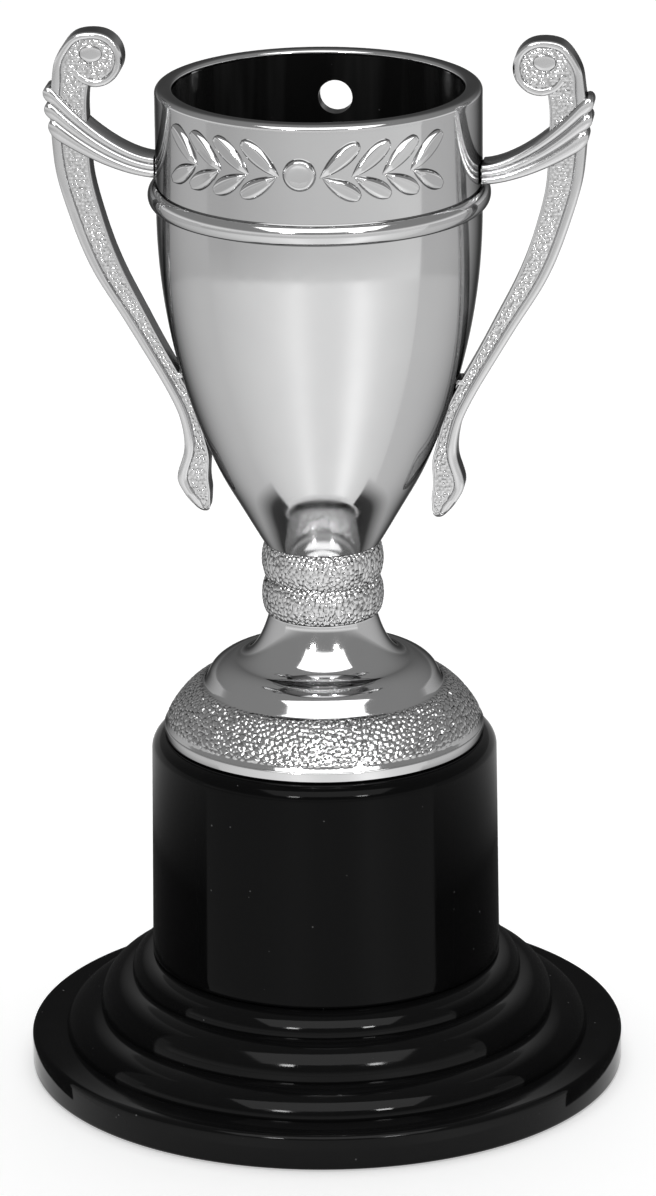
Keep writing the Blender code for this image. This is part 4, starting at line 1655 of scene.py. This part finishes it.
@dataclass
class Studio:
    """Camera, pale floor, soft lamps, white surroundings, and cards for the glossy surfaces to mirror.

    The cards are a lit floor in front that fades to grey, a grey floor and wall behind, and a dark low wall
    round the base.
    """

    # Camera's angle from the front, distance from the axis, height and turns, in degrees and millimetres
    azimuth: float = 6.8
    distance: float = 726.8
    camera_height: float = 302.5
    pitch: float = 18.645
    yaw: float = 0.045
    roll: float = -0.52
    # Focal length and picture height in pixels, and sensor width in millimetres
    focal: float = 6588.0
    image_height: float = 1196.0
    sensor: float = 36.0
    # Nearest distance that the camera shows, half side of the floor and its depth under the pad, in metres
    clip: float = 0.01
    floor_half: float = 6.0
    floor_depth: float = 0.00005
    floor_colour: Colour = (0.82, 0.82, 0.82)
    floor_glow: float = 0.45
    # Sines of elevation where the surroundings begin to dim and stop, and their glow there
    sky_span: Point = (0.03, 0.26)
    sky_glow: Point = (1.0, 0.3)
    # Glow of the surroundings for the rays that only light
    sky_fill: float = 0.35
    cards: tuple[Card, ...] = (
        Card("studio_low_wall", (57, 296), 81, (
            (0.0375, 0.0002, 0.03), (0.0375, 0.018, 0.06), (0.0375, 0.026, 0.35), (0.0375, 0.034, 0.72))),
        Card("studio_side_floor", (74, 277), 65, ((0.0405, 0.0002, 0.74), (0.28, 0.0002, 0.72))),
        Card("studio_wall", (74, 277), 65, ((0.28, 0.0, 0.62), (0.28, 0.1, 0.62))),
        Card("studio_near_front", (-83, 74), 121, (
            (0.0405, 0.0002, 1), (0.12, 0.0002, 1), (0.17, 0.0002, 1), (0.275, 0.0002, 1)),
            spread=((-83, 0.74), (-30, 1.03), (42, 1.03), (74, 0.84)),
            streaks=((-17, 10, 0.13), (29, 11, 0.24)), fade=(1.2, 1.2, 1.1, 1.0)),
        Card("studio_far_front", (-105, 105), 71, (
            (0.27, 0.0001, 0.88), (0.28, 0.0001, 0.84), (0.36, 0.0001, 0.75), (0.8, 0.0001, 0.7)),
            spread=((-67, 0.74), (-14, 1.0), (60, 1.14))),
    )
    lamps: tuple[Lamp, ...] = (
        Lamp("ceiling_box", 180.0, (0.22, 1.0), (0.9, 0.9), 2.1, LampUse.LIGHT),
        Lamp("front_panel", 9.0, (0.72, 0.92), (1.5, 0.8), 2.2, LampUse.MIRROR),
        Lamp("softbox_left", -14.0, (0.85, 0.46), (0.1, 0.1), 45.0, LampUse.MIRROR),
        Lamp("softbox_right", 32.0, (0.85, 0.46), (0.1, 0.1), 45.0, LampUse.MIRROR),
    )

    def add_camera(self) -> None:
        """Adds the camera: it stands off the axis at the azimuth, looks down by the pitch and leans."""
        stand, turn, down, lean = np.radians([self.azimuth, self.azimuth - self.yaw, self.pitch, self.roll])
        ahead = np.array([-np.sin(turn) * np.cos(down), np.cos(turn) * np.cos(down), -np.sin(down)])
        level = np.array([np.cos(turn), np.sin(turn), 0.0])
        above = np.cross(level, ahead)
        right = np.cos(lean) * level + np.sin(lean) * above
        top = np.cos(lean) * above - np.sin(lean) * level
        place = MM * np.array([
            self.distance * np.sin(stand), -self.distance * np.cos(stand), self.camera_height])
        data = bpy.data.cameras.new("camera")
        data.sensor_width = self.sensor
        data.lens = self.focal / self.image_height * self.sensor
        data.clip_start = self.clip
        camera = link("camera", data)
        pose = np.eye(4)
        pose[:3] = np.column_stack([right, top, -ahead, place])
        camera.matrix_world = Matrix(pose.tolist())
        bpy.context.scene.camera = camera

    def add_floor(self) -> None:
        """Adds the floor: a pale matt plane that glows a little for the rays that see it."""
        nodes = Nodes(bpy.data.materials.new("studio_floor"))
        glow = nodes.add("Emission", Strength=nodes.maths("MULTIPLY", nodes.seen(), self.floor_glow))
        both = nodes.add("AddShader")
        nodes.put(both.inputs[0], nodes.add("BsdfDiffuse", Color=(*self.floor_colour, 1.0)).outputs[0])
        nodes.put(both.inputs[1], glow.outputs[0])
        mesh = bpy.data.meshes.new("studio_floor")
        square = [
            (x * self.floor_half, y * self.floor_half, -self.floor_depth)
            for x, y in ((-1, -1), (1, -1), (1, 1), (-1, 1))]
        mesh.from_pydata(square, [], [(0, 1, 2, 3)])
        mesh.materials.append(nodes.show(both.outputs[0]))
        link("studio_floor", mesh)

    def add_world(self) -> None:
        """Sets the surroundings: white at the horizon for the rays that see them, dimmer overhead."""
        nodes = Nodes(bpy.data.worlds.new("studio_world"))
        split = nodes.add("SeparateXYZ", Vector=nodes.add("TexCoord").outputs["Generated"])
        sky = nodes.between(split.outputs["Z"], self.sky_glow, self.sky_span)
        sky.node.interpolation_type = "SMOOTHSTEP"
        glow = nodes.add("Mix", Factor=nodes.seen(), A=self.sky_fill, B=sky).outputs[0]
        nodes.fill(nodes.tree.nodes["Background"], Color=(1.0, 1.0, 1.0, 1.0), Strength=glow)
        bpy.context.scene.world = nodes.owner

    def build(self) -> None:
        """Builds the studio and sets the plain view transform."""
        self.add_camera()
        self.add_floor()
        self.add_world()
        for card in self.cards:
            card.build(self.azimuth)
        for lamp in self.lamps:
            lamp.build()
        bpy.context.scene.view_settings.view_transform = "Standard"


def main() -> None:
    """Builds the trophy's sub-assemblies and the studio in order."""
    logging.basicConfig(level=logging.INFO, format="%(name)s: %(message)s")
    Studio().build()
    polished = SilverFinish("silver_polished")
    # The textured and handle finishes paint shade into their grooves.
    textured = SilverFinish("silver_textured", groove=(0.14, 0.14, 0.14), roughness=(0.1, 0.2), edge=0.02)
    handled = SilverFinish("silver_handles", groove=(0.52, 0.52, 0.52), roughness=(0.1, 0.2))
    # The lining's pale streaks are the strongest painted reflections.
    lining = BlackFinish(
        "black_lining", colour=(0.016, 0.016, 0.016), streak=(0.05, 0.05, 0.05), roughness=(0.08, 0.16),
        shine=0.5)
    gloss = BlackFinish("black_gloss")
    # The steps' black is set a little lighter than the drum's: painted light on the upward-facing steps.
    stepped = BlackFinish(
        "black_steps", colour=(0.006, 0.006, 0.0062), streak=(0.007, 0.007, 0.0072), shine=0.13)
    rolled = SteelFinish("rolled_steel", bright=(0.34, 0.33, 0.32))
    silver = polished.material()
    bowl = Bowl(silver, lining.material())
    bowl.build()
    arms = handled.material()
    for side in Side:
        Handle(side, bowl, arms).build()
    Pedestal(silver, textured.material()).build()
    Plinth(gloss.material(), stepped.material(), FeltFinish("felt_dark").material()).build()
    Hardware(SteelFinish("zinc_plate").material(), rolled.material()).build()


if __name__ == "__main__":
    main()
